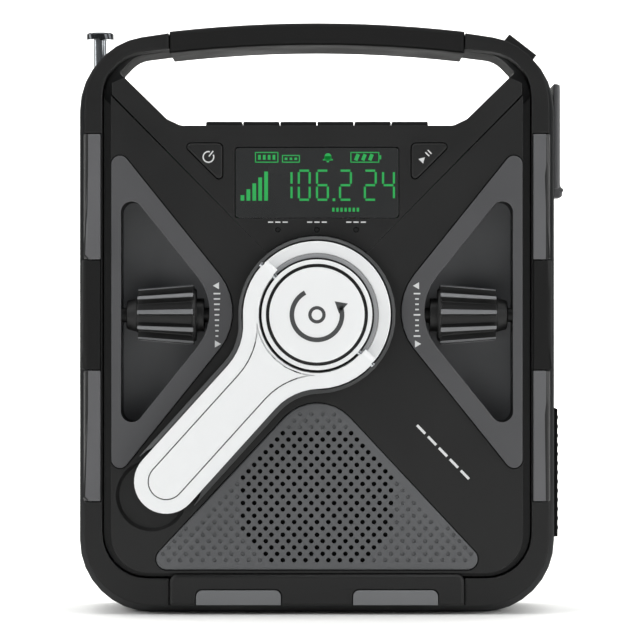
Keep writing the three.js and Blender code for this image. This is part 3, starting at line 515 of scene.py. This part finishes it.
# Faces on the walls and floor of the groove round the arm's inlay, which get painted shade.
def inPocket(centre, normal):
    nearest = inlayTree.find_nearest(Vector((centre.x, inlayFront, centre.z)))[3]
    fromHub = (centre.xz - Vector((0, middle("crank_hub_cap").z))).length
    deep = (centre.y - armFront) / mm
    return (painted["pocketFrom"] < deep < painted["pocketTo"] and fromHub > painted["pocketClear"] * mm
            and nearest is not None and nearest < painted["inlayReach"] * mm)


# Faces inside the shell's loop under the handle, which get painted shade.
def inLoop(centre, normal):
    return (centre.z > painted["loopFloor"] * mm and abs(centre.x) < painted["loopHalf"] * mm
            and centre.y < painted["loopBack"] * mm and abs(normal.y) < 0.5 and normal.z < 0.3)


# Painted light and shade in a bezel's recess: the floor gets a paler grey, the side walls black.
def paintRecess(node):
    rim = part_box(node)[0][1]
    floorFrom, wallFrom = rim + painted["recessFloor"] * mm, rim + painted["recessWall"] * mm
    repaint(moulded[node], recessPaintedLightAbs, lambda centre, normal: normal.y < -0.6 and centre.y > floorFrom)
    repaint(moulded[node], blackAbsAndPaintedShade, lambda centre, normal: abs(normal.y) < 0.6 and centre.y > wallFrom)


# painted shade: the groove round the inlay gets the dark ink's grey-black
repaint(moulded["crank_arm"], darkInkAndGrooveShade, inPocket)
# painted shade: faces under the handle, in the shell's loop, under the grip and under the bumper's top bar
# get the dark dull rubber
repaint(moulded["rear_shell"], sideRubberAndUndersideShade, inLoop)
repaint(moulded["handle_grip"], sideRubberAndUndersideShade, lambda centre, normal: normal.z < -0.5)
repaint(moulded["bumper_frame"], sideRubberAndUndersideShade,
        lambda centre, normal: centre.z > painted["underBar"] * mm and normal.z < -0.2)
for side in ("left", "right"):
    for height in ("upper", "lower"):
        repaint(moulded[f"side_insert_{side}_{height}"], blackAbsAndPaintedShade,
                lambda centre, normal: abs(centre.x) > painted["insertSide"] * mm)
for node in ("volume_bezel", "tuning_bezel"):
    paintRecess(node)
print("moulded pieces ready")


def addBar(mesh, place, size, turn=0):
    matrix = Matrix.Translation(place) @ Matrix.Rotation(turn, 4, "Y") @ Matrix.Diagonal((*size, 1))
    return bmesh.ops.create_cube(mesh, size=1, matrix=matrix)["verts"]


# Flat ring, or part of one, facing the front; angles in degrees from +X towards +Z.
def addArc(mesh, centre, radius, width, thickness, start=0, sweep=360, steps=32):
    inner, outer = radius - width / 2, radius + width / 2
    turned = Matrix.Translation(centre) @ Matrix.Rotation(-math.radians(start), 4, "Y")
    corners = [(inner, 0, 0), (outer, 0, 0), (outer, thickness, 0), (inner, thickness, 0)]
    verts = [mesh.verts.new(turned @ Vector(c)) for c in corners]
    edges = [mesh.edges.new((verts[i], verts[(i + 1) % 4])) for i in range(4)]
    whole = abs(sweep) >= 360
    bmesh.ops.spin(
        mesh, geom=verts + edges, cent=centre, axis=(0, -1, 0), angle=math.radians(sweep), steps=steps,
        use_merge=whole)
    if not whole:
        bmesh.ops.holes_fill(mesh, edges=[e for e in mesh.edges if e.is_boundary], sides=4)


def tidyNormals(mesh):
    bmesh.ops.remove_doubles(mesh, verts=mesh.verts, dist=0.001 * mm)
    bmesh.ops.recalc_face_normals(mesh, faces=mesh.faces)


# Flat prism facing the front: three sides make a triangle, many a disc.
def addPrism(mesh, place, radius, thick, sides, turn=0):
    matrix = (Matrix.Translation(place) @ Matrix.Rotation(math.radians(90), 4, "X")
              @ Matrix.Rotation(math.radians(turn), 4, "Z"))
    bmesh.ops.create_cone(
        mesh, cap_ends=True, segments=sides, radius1=radius, radius2=radius, depth=thick, matrix=matrix)


# Round solid about an axis, from a list of (radius, place along it) in millimetres.
def addTurned(mesh, profile, centre, steps=64, closed=False, axis="Y"):
    point = {"X": lambda r, a: (a, 0, r), "Y": lambda r, a: (r, a, 0), "Z": lambda r, a: (r, 0, a)}[axis]
    direction = {"X": (1, 0, 0), "Y": (0, 1, 0), "Z": (0, 0, 1)}[axis]
    made = [mesh.verts.new(point(radius * mm, along * mm)) for radius, along in profile]
    pairs = list(zip(made, made[1:])) + ([(made[-1], made[0])] if closed else [])
    edges = [mesh.edges.new(pair) for pair in pairs]
    bmesh.ops.spin(
        mesh, geom=made + edges, cent=(0, 0, 0), axis=direction, angle=math.radians(360), steps=steps,
        use_merge=True)
    bmesh.ops.translate(mesh, verts=mesh.verts, vec=centre)
    tidyNormals(mesh)


grille = {
    "pitch": 3.76, "row": 2.095, "holeRadius": 0.8, "holeDepth": 6, "sides": 10, "rows": 10, "columns": 6.5,
    "cornerAbove": 8, "cornerBelow": 9, "margin": 1.6, "dimple": 0.4, "dimpleRadius": 0.74,
    "dimpleTaper": 0.9, "round": 0.45, "clothRadius": 26.4, "clothGap": 0.08, "clothThick": 0.14,
}

# Cuts the holes out of the piece; the cutter is used up.
def punch(piece, cutters):
    data = bpy.data.meshes.new("grilleHoles")
    cutters.to_mesh(data)
    cutters.free()
    holes = bpy.data.objects.new("grilleHoles", data)
    scene.collection.objects.link(holes)
    cut = piece.modifiers.new("punch", "BOOLEAN")
    cut.operation = "DIFFERENCE"
    cut.object = holes
    cut.solver = "EXACT"
    bpy.context.view_layer.update()
    finished = bpy.data.meshes.new_from_object(piece.evaluated_get(bpy.context.evaluated_depsgraph_get()))
    piece.modifiers.clear()
    piece.data = finished
    piece.data.materials.clear()
    piece.data.materials.append(grilleAbs)
    bpy.data.objects.remove(holes)


def makeGrille():
    centre = middle("speaker_driver")
    low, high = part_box("speaker_grille")
    plate = cadCopy("speaker_grille")
    roundEdges(plate, grille["round"])
    smoothMesh(plate)
    tree = BVHTree.FromBMesh(plate)
    margin = grille["margin"] * mm
    around = [(margin, 0), (-margin, 0), (0, margin), (0, -margin)]

    def onPlate(x, z):
        return all(tree.ray_cast(Vector((x + dx, -1, z + dz)), Vector((0, 1, 0)))[0] for dx, dz in around)

    cutters = bmesh.new()
    rows = int((high[2] - low[2]) / (grille["row"] * mm)) + 2
    columns = int((high[0] - low[0]) / (grille["pitch"] * mm)) + 2
    for row in range(-rows, rows):
        # the open holes fill a field with its corners cut off
        corner = grille["cornerAbove" if row > 0 else "cornerBelow"] - 0.5 * abs(row)
        for column in range(-columns, columns):
            across = column + 0.5 * (row % 2)
            x = across * grille["pitch"] * mm
            z = centre.z + row * grille["row"] * mm
            if not onPlate(x, z):
                continue
            through = abs(row) <= grille["rows"] and abs(across) <= min(grille["columns"], corner)
            depth = grille["holeDepth"] * mm if through else 2 * grille["dimple"] * mm
            wide = grille["holeRadius" if through else "dimpleRadius"] * mm
            spread = wide if through else wide * grille["dimpleTaper"]
            turned = Matrix.Translation((x, low[1], z)) @ Matrix.Rotation(math.radians(90), 4, "X")
            bmesh.ops.create_cone(
                cutters, cap_ends=True, segments=grille["sides"], radius1=spread, radius2=wide, depth=depth,
                matrix=turned)
    piece = addPiece("perforatedGrille", plate, grilleAbs, "case", ("speaker_grille",))
    punch(piece, cutters)
    cloth = bmesh.new()
    edge, near = grille["clothRadius"], high[1] / mm + grille["clothGap"]
    far = near + grille["clothThick"]
    addTurned(cloth, [(0, near), (edge, near), (edge, far), (0, far)], (0, 0, centre.z), 48)
    addPiece("speakerCloth", cloth, speakerCloth, "case")

makeGrille()
print("grille ready")


# Along the axis a roller goes from its collar by the hub to its tip outside.
roller = {
    "ribs": 10, "phase": 12, "ribHeight": 2.0, "ribWide": 2.6, "ribNarrow": 2.0, "ribTop": 0.62,
    "ribRound": 0.28, "ribShort": 1.2, "core": 2.3, "taper": 1.7, "from": 5.7, "to": 25.5, "pin": 2.4,
    "collar": 5.5, "collarFrom": 3.2, "tipWide": 4.8, "tipNarrow": 4.2, "tipLong": 3.3, "litTop": 0.35,
}

def rollerProfile(wide, inner, start, end, outer):
    broad = wide - roller["core"]
    slim = broad - roller["taper"]
    pin, collar = roller["pin"], roller["collar"]
    step, tip = inner + roller["collarFrom"], end + roller["tipLong"]
    return [
        (0, inner), (pin, inner), (pin, step), (collar, step), (collar, start),
        (broad + 0.5, start), (broad + 0.8, start + 0.4), (broad + 0.6, start + 1.1), (broad, start + 1.4),
        (slim, end - 0.5), (slim - 0.6, end), (roller["tipWide"], tip - 0.3), (roller["tipNarrow"], tip),
        (pin, tip), (pin, outer), (0, outer),
    ]


# One rib as a bar that narrows towards its top and its tip end.
def rollerRib(length):
    bar = bmesh.new()
    tall = 2 * roller["ribHeight"] * mm
    bmesh.ops.create_cube(bar, size=1, matrix=Matrix.Diagonal((length, 1 * mm, tall, 1)))
    for vert in bar.verts:
        width = roller["ribWide" if vert.co.x < 0 else "ribNarrow"]
        top = roller["ribTop"] if vert.co.z > 0 else 1.0
        vert.co.y = math.copysign(width * top * mm / 2, vert.co.y)
    bmesh.ops.bevel(
        bar, geom=bar.edges[:], offset=roller["ribRound"] * mm, segments=2, profile=0.5, affect="EDGES",
        material=-1, clamp_overlap=True)
    return bar


def makeRoller(node, side):
    low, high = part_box(node)
    axis = middle(node)
    wide = (high[2] - low[2]) / 2
    inner, outer = (low[0], high[0]) if side > 0 else (-high[0], -low[0])
    start, end = inner + roller["from"] * mm, inner + roller["to"] * mm
    narrow = wide - roller["taper"] * mm
    mesh = bmesh.new()
    profile = rollerProfile(*(v / mm for v in (wide, inner, start, end, outer)))
    addTurned(mesh, profile, (0, 0, 0), 72, axis="X")
    slope = math.atan2(wide - narrow, end - start)
    ribMiddle = ((start + end) / 2, 0, (wide + narrow) / 2 - roller["ribHeight"] * mm)
    for rib in range(roller["ribs"]):
        angle = math.radians(roller["phase"] + 360 / roller["ribs"] * rib)
        bar = rollerRib(end - start - roller["ribShort"] * mm)
        place = (Matrix.Rotation(angle, 4, "X") @ Matrix.Translation(ribMiddle)
                 @ Matrix.Rotation(slope, 4, "Y"))
        bmesh.ops.transform(bar, matrix=place, verts=bar.verts)
        data = bpy.data.meshes.new("rib")
        bar.to_mesh(data)
        bar.free()
        mesh.from_mesh(data)
        bpy.data.meshes.remove(data)
    if side < 0:
        bmesh.ops.scale(mesh, vec=(-1, 1, 1), verts=mesh.verts)
        bmesh.ops.reverse_faces(mesh, faces=mesh.faces)
    bmesh.ops.translate(mesh, verts=mesh.verts, vec=(0, axis.y, axis.z))
    smoothMesh(mesh)
    piece = addPiece("ribbed_" + node, mesh, blackAbsAndPaintedShade, bodyOf[node], (node,))

    # a rib's top is what stands highest at its place along the taper; it gets the painted highlight
    def litTop(centre, normal):
        along = (abs(centre.x) - start) / (end - start)
        out = math.hypot(centre.y - axis.y, centre.z - axis.z)
        return 0 < along < 1 and out > wide - (wide - narrow) * along - roller["litTop"] * mm

    # painted highlight: the ribs' tops get a paler grey than the rest of the roller
    repaint(piece, ribTopHighlightAbs, litTop)
    weighNormals(piece)

makeRoller("tuning_knob", 1)
makeRoller("volume_knob", -1)


# The lit parts of the display, in millimetres across and up the window.
lcd = {
    "proud": 0.05, "base": 136.9, "height": 9.6, "width": 4.3, "bar": 0.72, "pitch": 6.0,
    "numbers": [("1062", -10.2), ("24", 17.6)], "lastShift": 1.6, "point": (5.6, 0.9),
    # signal bars: count, first place, step, width, first height, height step and drop
    "signal": (5, -24.6, 1.95, 1.25, 1.8, 1.95, 0.3),
    # battery and two small frames: place, width and height
    "frames": [(15.8, 150.9, 9.2, 3.2), (-16.6, 150.9, 7.4, 3.2), (-8.6, 150.4, 5.6, 2.2)], "line": 0.33,
    # rows: count, first place, step, height above the floor, width, height and slant in degrees
    "rows": [(1, 20.8, 0, 150.9, 0.8, 1.3, 0), (3, 13.2, 2.3, 150.9, 1.2, 2.2, 22),
             (4, -19.0, 1.6, 150.9, 0.9, 1.6, 0), (3, -10.2, 1.6, 150.4, 0.9, 0.8, 0),
             (7, 5.4, 1.35, 133.6, 0.8, 1.3, 0)],
    "bell": (3.6, 151.1, 1.15), "bellBars": [(150.1, 3.3, 0.45), (150.7, 2.3, 1.2), (149.5, 0.8, 0.5)],
}
segmentsOf = {
    "0": "abcdef", "1": "bc", "2": "abged", "3": "abgcd", "4": "fgbc", "5": "afgcd", "6": "afgedc",
    "7": "abc", "8": "abcdefg", "9": "abcdfg",
}

def makeDisplay():
    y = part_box("display_window")[0][1] - lcd["proud"] * mm / 2
    thick = 2 * lcd["proud"] * mm
    green = bmesh.new()
    half, width, bar = lcd["height"] / 2, lcd["width"], lcd["bar"]
    layout = {
        "a": (0, 2 * half, True), "g": (0, half, True), "d": (0, 0, True), "f": (-1, 1.5 * half, False),
        "b": (1, 1.5 * half, False), "e": (-1, 0.5 * half, False), "c": (1, 0.5 * half, False),
    }

    def block(x, z, wide, tall, turn=0):
        addBar(green, (x * mm, y, z * mm), (wide * mm, thick, tall * mm), math.radians(turn))

    def digit(character, x):
        for key in segmentsOf[character]:
            side, rise, flat = layout[key]
            wide, tall = (width - bar * 1.5, bar) if flat else (bar, half - bar * 1.4)
            block(x + side * (width - bar) / 2, lcd["base"] + rise, wide, tall)

    for text, start in lcd["numbers"]:
        for index, character in enumerate(text):
            digit(character, start + lcd["pitch"] * index + (lcd["lastShift"] if index == 3 else 0))
    x, size = lcd["point"]
    block(x, lcd["base"], size, size)
    count, start, pitch, wide, height, growth, drop = lcd["signal"]
    for step in range(count):
        tall = height + growth * step
        block(start + pitch * step, lcd["base"] - drop + tall / 2, wide, tall)
    line = lcd["line"]
    for x, z, wide, tall in lcd["frames"]:
        for dz in (-tall / 2, tall / 2):
            block(x, z + dz, wide, line)
        for dx in (-wide / 2, wide / 2):
            block(x + dx, z, line, tall + line)
    for count, start, pitch, z, wide, tall, turn in lcd["rows"]:
        for step in range(count):
            block(start + pitch * step, z, wide, tall, turn)
    x, z, radius = lcd["bell"]
    addPrism(green, (x * mm, y, z * mm), radius * mm, thick, 24)
    for z, wide, tall in lcd["bellBars"]:
        block(x, z, wide, tall)
    tidyNormals(green)
    addPiece("displaySegments", green, lcdGreen, "case")

makeDisplay()


# Printed marks, in millimetres across and up the front; sizes are width and height.
marks = {
    "proud": 0.04, "scaleAt": (33.0, 98.9), "tipRise": 9.6, "tipRadius": 1.35, "ticks": 9, "tickStep": 1.75,
    "tickHigh": 0.5, "dashes": (-12.9, 0, 12.9), "dashStep": 2.4, "dashUp": 129.5, "dashSize": (1.7, 0.42),
    "accents": 5, "accentAt": (41.6, 53.6), "accentStep": 5.2, "accentTurn": 46, "accentSize": (3.9, 0.85),
}

# A tick of the volume scale grows step by step; the tuning scale has every fourth one long.
def tickWide(side, step):
    if side < 0:
        return 0.9 + 0.17 * step
    return 2.2 if step % 4 == 0 else 1.2


def makeMarks():
    thick = 2 * marks["proud"] * mm
    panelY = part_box("front_panel")[0][1] - marks["proud"] * mm
    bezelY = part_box("volume_bezel")[0][1] - marks["proud"] * mm
    white = bmesh.new()

    def block(x, y, z, wide, tall, turn=0):
        addBar(white, (x * mm, y, z * mm), (wide * mm, thick, tall * mm), math.radians(turn))

    across, up = marks["scaleAt"]
    for side in (-1, 1):
        x = side * across
        for sign in (1, -1):
            place = (x * mm, bezelY, (up + sign * marks["tipRise"]) * mm)
            addPrism(white, place, marks["tipRadius"] * mm, thick, 3, 180 - sign * 90)
        for step in range(marks["ticks"]):
            rise = (step - marks["ticks"] // 2) * marks["tickStep"]
            block(x, bezelY, up + rise, tickWide(side, step), marks["tickHigh"])
    for x in marks["dashes"]:
        for step in (-1, 0, 1):
            block(x + step * marks["dashStep"], panelY, marks["dashUp"], *marks["dashSize"])
    # slanted accent bars at the lower right of the panel
    along = math.radians(marks["accentTurn"])
    x, z = marks["accentAt"]
    for step in range(marks["accents"]):
        offset = (step - marks["accents"] // 2) * marks["accentStep"]
        block(x + offset * math.cos(along), panelY, z - offset * math.sin(along), *marks["accentSize"],
              marks["accentTurn"])
    tidyNormals(white)
    addPiece("printedMarks", white, whiteInk, "case")


icons = {
    "power": (-35.8, 151.0), "ringRadius": 1.75, "line": 0.42, "ringStart": 75, "ringSweep": 310,
    "stemAt": (0.85, 1.05), "stemLong": 2.3, "stemTurn": 38,
    "play": (34.7, 150.0), "playRadius": 1.25, "turn": -45, "pauseAt": (36.4, 151.9), "pauseStep": 0.75,
    "pauseLong": 1.8,
}

def makeButtonIcons():
    thick = 2 * marks["proud"] * mm
    line = icons["line"] * mm
    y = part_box("power_button")[0][1] - marks["proud"] * mm / 2
    power = bmesh.new()
    x, z = icons["power"]
    addArc(power, (x * mm, y, z * mm), icons["ringRadius"] * mm, line, thick, icons["ringStart"],
           icons["ringSweep"], 36)
    dx, dz = icons["stemAt"]
    addBar(power, ((x + dx) * mm, y + thick / 2, (z + dz) * mm), (line, thick, icons["stemLong"] * mm),
           math.radians(icons["stemTurn"]))
    tidyNormals(power)
    addPiece("powerIcon", power, whiteInk, "power")
    play = bmesh.new()
    x, z = icons["play"]
    addPrism(play, (x * mm, y, z * mm), icons["playRadius"] * mm, thick, 3, icons["turn"])
    x, z = icons["pauseAt"]
    for step in (0, icons["pauseStep"]):
        addBar(play, ((x + step) * mm, y, (z + step) * mm), (line, thick, icons["pauseLong"] * mm),
               math.radians(icons["turn"]))
    tidyNormals(play)
    addPiece("playIcon", play, whiteInk, "play")

makeMarks()
makeButtonIcons()
print("display and marks ready")


# Outlines of the turned hub as (radius, y) in millimetres, and the arrow on its cap.
hub = {
    "core": [(0, -35.45), (16.6, -35.45), (16.6, -33), (18.0, -33), (18.0, -31.35), (18.8, -31.35),
             (20.15, -31.35), (20.15, -28.8), (3, -28.8), (3, -8), (0, -8)],
    "trim": [(16.7, -36.1), (16.9, -36.25), (17.9, -36.25), (18.1, -36.05), (18.1, -33.1), (16.7, -33.1)],
    "seat": [(20.2, -31.2), (20.4, -31.4), (23.9, -31.4), (24.2, -31.1), (24.2, -28.8), (20.2, -28.8)],
    "cap": [(0, -36.6), (6, -36.58), (11, -36.5), (14.4, -36.38), (15.3, -36.2), (15.6, -35.95),
            (15.6, -35.7), (0, -35.7)],
    "coreRound": 0.12, "stepFrom": 18.8, "stepFace": -31,
}
arrow = {
    "y": -36.62, "thick": 0.16, "radius": 8.2, "line": 1.5, "start": 118, "sweep": 262, "headRadius": 2.5,
    "headTurn": -70, "dotRadius": 2.3, "dotLine": 1.1,
}

def makeHub():
    height = middle("crank_hub_cap").z
    place = (0, 0, height)
    core = bmesh.new()
    addTurned(core, hub["core"], place, 72)
    roundEdges(core, hub["coreRound"], 2)
    smoothMesh(core)
    piece = addPiece("rotorCore", core, blackAbsAndPaintedShade, "crank", ("crank_rotor",))
    # painted shade: the front of the step outside the black line is painted grey
    repaint(piece, stepShadePaint, lambda centre, normal: normal.y < -0.9 and centre.y < hub["stepFace"] * mm
            and (centre.xz - Vector((0, height))).length > hub["stepFrom"] * mm)
    for name, outline, closed, replaced in (
            ("hubTrimRing", "trim", True, ()), ("seatRing", "seat", True, ("crank_rotor",)),
            ("hubCapDisc", "cap", False, ("crank_hub_cap",))):
        turned = bmesh.new()
        addTurned(turned, hub[outline], place, 96, closed)
        smoothMesh(turned)
        addPiece(name, turned, silverPaint, "crank", replaced)


def makeArrow():
    height = middle("crank_hub_cap").z
    mesh = bmesh.new()
    thick, y, radius = arrow["thick"] * mm, arrow["y"] * mm, arrow["radius"] * mm
    addArc(mesh, (0, y, height), radius, arrow["line"] * mm, thick, arrow["start"], arrow["sweep"], 48)
    tip = math.radians(arrow["start"] + arrow["sweep"])
    head = (radius * math.cos(tip), y + thick / 2, height + radius * math.sin(tip))
    addPrism(mesh, head, arrow["headRadius"] * mm, thick, 3, arrow["headTurn"])
    addArc(mesh, (0, y, height), arrow["dotRadius"] * mm, arrow["dotLine"] * mm, thick, 0, 360, 32)
    tidyNormals(mesh)
    addPiece("turnArrow", mesh, darkInkAndGrooveShade, "crank")

makeHub()
makeArrow()
print("crank hub ready")


antenna = {"round": 0.15, "capHigh": 2.7}

for node in ("antenna_outer_tube", "antenna_middle_tube", "antenna_tip_rod"):
    moulded[node] = carry(node, antenna["round"])
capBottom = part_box("antenna_tip_rod")[1][2] - antenna["capHigh"] * mm
repaint(moulded["antenna_tip_rod"], darkChrome, lambda centre, normal: centre.z > capBottom)


# Cells, the fine wires across each and its two broad ones; depths are how far a sheet goes through the face.
solar = {
    "columns": 4, "rows": 3, "gap": 0.9, "margin": 3.2, "cellDeep": 0.06, "wires": 9, "wireInset": 1.6,
    "wireWide": 0.07, "wireDeep": 0.04, "wireSpread": 9.5, "busAt": 0.25, "busWide": 0.34, "busDeep": 0.05,
}

def makeSolar():
    low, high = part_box("solar_panel")
    cells = bmesh.new()
    wires = bmesh.new()
    margin, gap = solar["margin"] * mm, solar["gap"] * mm
    wide = (high[0] - low[0] - 2 * margin) / solar["columns"]
    tall = (high[2] - low[2] - 2 * margin) / solar["rows"]
    y = high[1]
    for column in range(solar["columns"]):
        for row in range(solar["rows"]):
            x = low[0] + margin + wide * (column + 0.5)
            z = low[2] + margin + tall * (row + 0.5)
            addBar(cells, (x, y, z), (wide - gap, solar["cellDeep"] * mm, tall - gap))
            for step in range(solar["wires"]):
                rise = tall * (step - solar["wires"] // 2) / solar["wireSpread"]
                addBar(wires, (x, y + 0.03 * mm, z + rise),
                       (wide - solar["wireInset"] * mm, solar["wireDeep"] * mm, solar["wireWide"] * mm))
            for side in (-1, 1):
                addBar(wires, (x + side * wide * solar["busAt"], y + 0.035 * mm, z),
                       (solar["busWide"] * mm, solar["busDeep"] * mm, tall - gap))
    tidyNormals(cells)
    tidyNormals(wires)
    addPiece("solarCells", cells, solarCell, "case")
    addPiece("solarBusWires", wires, brightSteel, "case")

makeSolar()


# Raised ribs for the fingers: sizes in millimetres, places from each part's own box.
ridges = {
    "high": 0.35, "proud": 0.3, "round": 0.14, "doorCount": 6, "doorWide": 22, "doorTaper": 0.1, "doorTop": 6,
    "doorStep": 1.7, "doorRib": 0.8, "stripCount": 13, "stripEnd": 3, "stripInset": 1.5, "stripRib": 1.1,
}

def addRibs(name, boxes, material):
    mesh = bmesh.new()
    for place, size in boxes:
        addBar(mesh, place, size)
    bmesh.ops.bevel(
        mesh, geom=mesh.edges[:], offset=ridges["round"] * mm, segments=2, profile=0.5, affect="EDGES",
        clamp_overlap=True, material=-1)
    bmesh.ops.recalc_face_normals(mesh, faces=mesh.faces)
    smoothMesh(mesh)
    weighNormals(addPiece(name, mesh, material, "case"))


def makeRidges():
    high = ridges["high"] * mm
    out = high * ridges["proud"]
    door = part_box("battery_door")[1]
    boxes = []
    for i in range(ridges["doorCount"]):
        z = door[2] - ridges["doorTop"] * mm - ridges["doorStep"] * mm * i
        wide = ridges["doorWide"] * mm * (1 - ridges["doorTaper"] * i)
        boxes.append(((0, door[1] + out, z), (wide, high, ridges["doorRib"] * mm)))
    addRibs("batteryDoorGrip", boxes, satinShell)
    low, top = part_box("side_strip")
    end = ridges["stripEnd"] * mm
    gap = (top[2] - low[2] - 2 * end) / (ridges["stripCount"] - 1)
    size = (high, top[1] - low[1] - 2 * ridges["stripInset"] * mm, ridges["stripRib"] * mm)
    boxes = [((top[0] + out, (low[1] + top[1]) / 2, low[2] + end + gap * i), size)
             for i in range(ridges["stripCount"])]
    addRibs("sideStripRibs", boxes, sideRubberAndUndersideShade)

makeRidges()


# Bright dish and lamp behind the flashlight's lens: radii and depths in millimetres, tilt in degrees.
flashlight = {"tilt": 37.7, "below": 1.3, "dish": 3.9, "lamp": 1.1}

def makeFlashlight():
    tilt = Matrix.Rotation(math.radians(flashlight["tilt"]), 4, "Y")
    place = Matrix.Translation(middle("flashlight_lens")) @ tilt
    edge, lamp, deep = flashlight["dish"], flashlight["lamp"], -flashlight["below"]
    dish = [(lamp, deep), (edge * 0.6, deep + 0.04), (edge * 0.9, deep + 0.16), (edge, deep + 0.3),
            (edge, deep + 0.02), (lamp, deep - 0.04)]
    bulb = [(0, deep + 0.3), (lamp * 0.6, deep + 0.26), (lamp * 0.95, deep + 0.1), (lamp, deep), (0, deep)]
    for name, profile, steps, closed, material, slot in (
            ("flashlightDish", dish, 48, True, chromeTrim, "bright_steel"),
            ("flashlightLamp", bulb, 32, False, nylonWhite, "white_nylon")):
        mesh = bmesh.new()
        addTurned(mesh, profile, (0, 0, 0), steps, closed, "Z")
        bmesh.ops.transform(mesh, matrix=place, verts=mesh.verts)
        smoothMesh(mesh)
        addPiece(name, mesh, material, "case")

makeFlashlight()
print("back and sides ready")
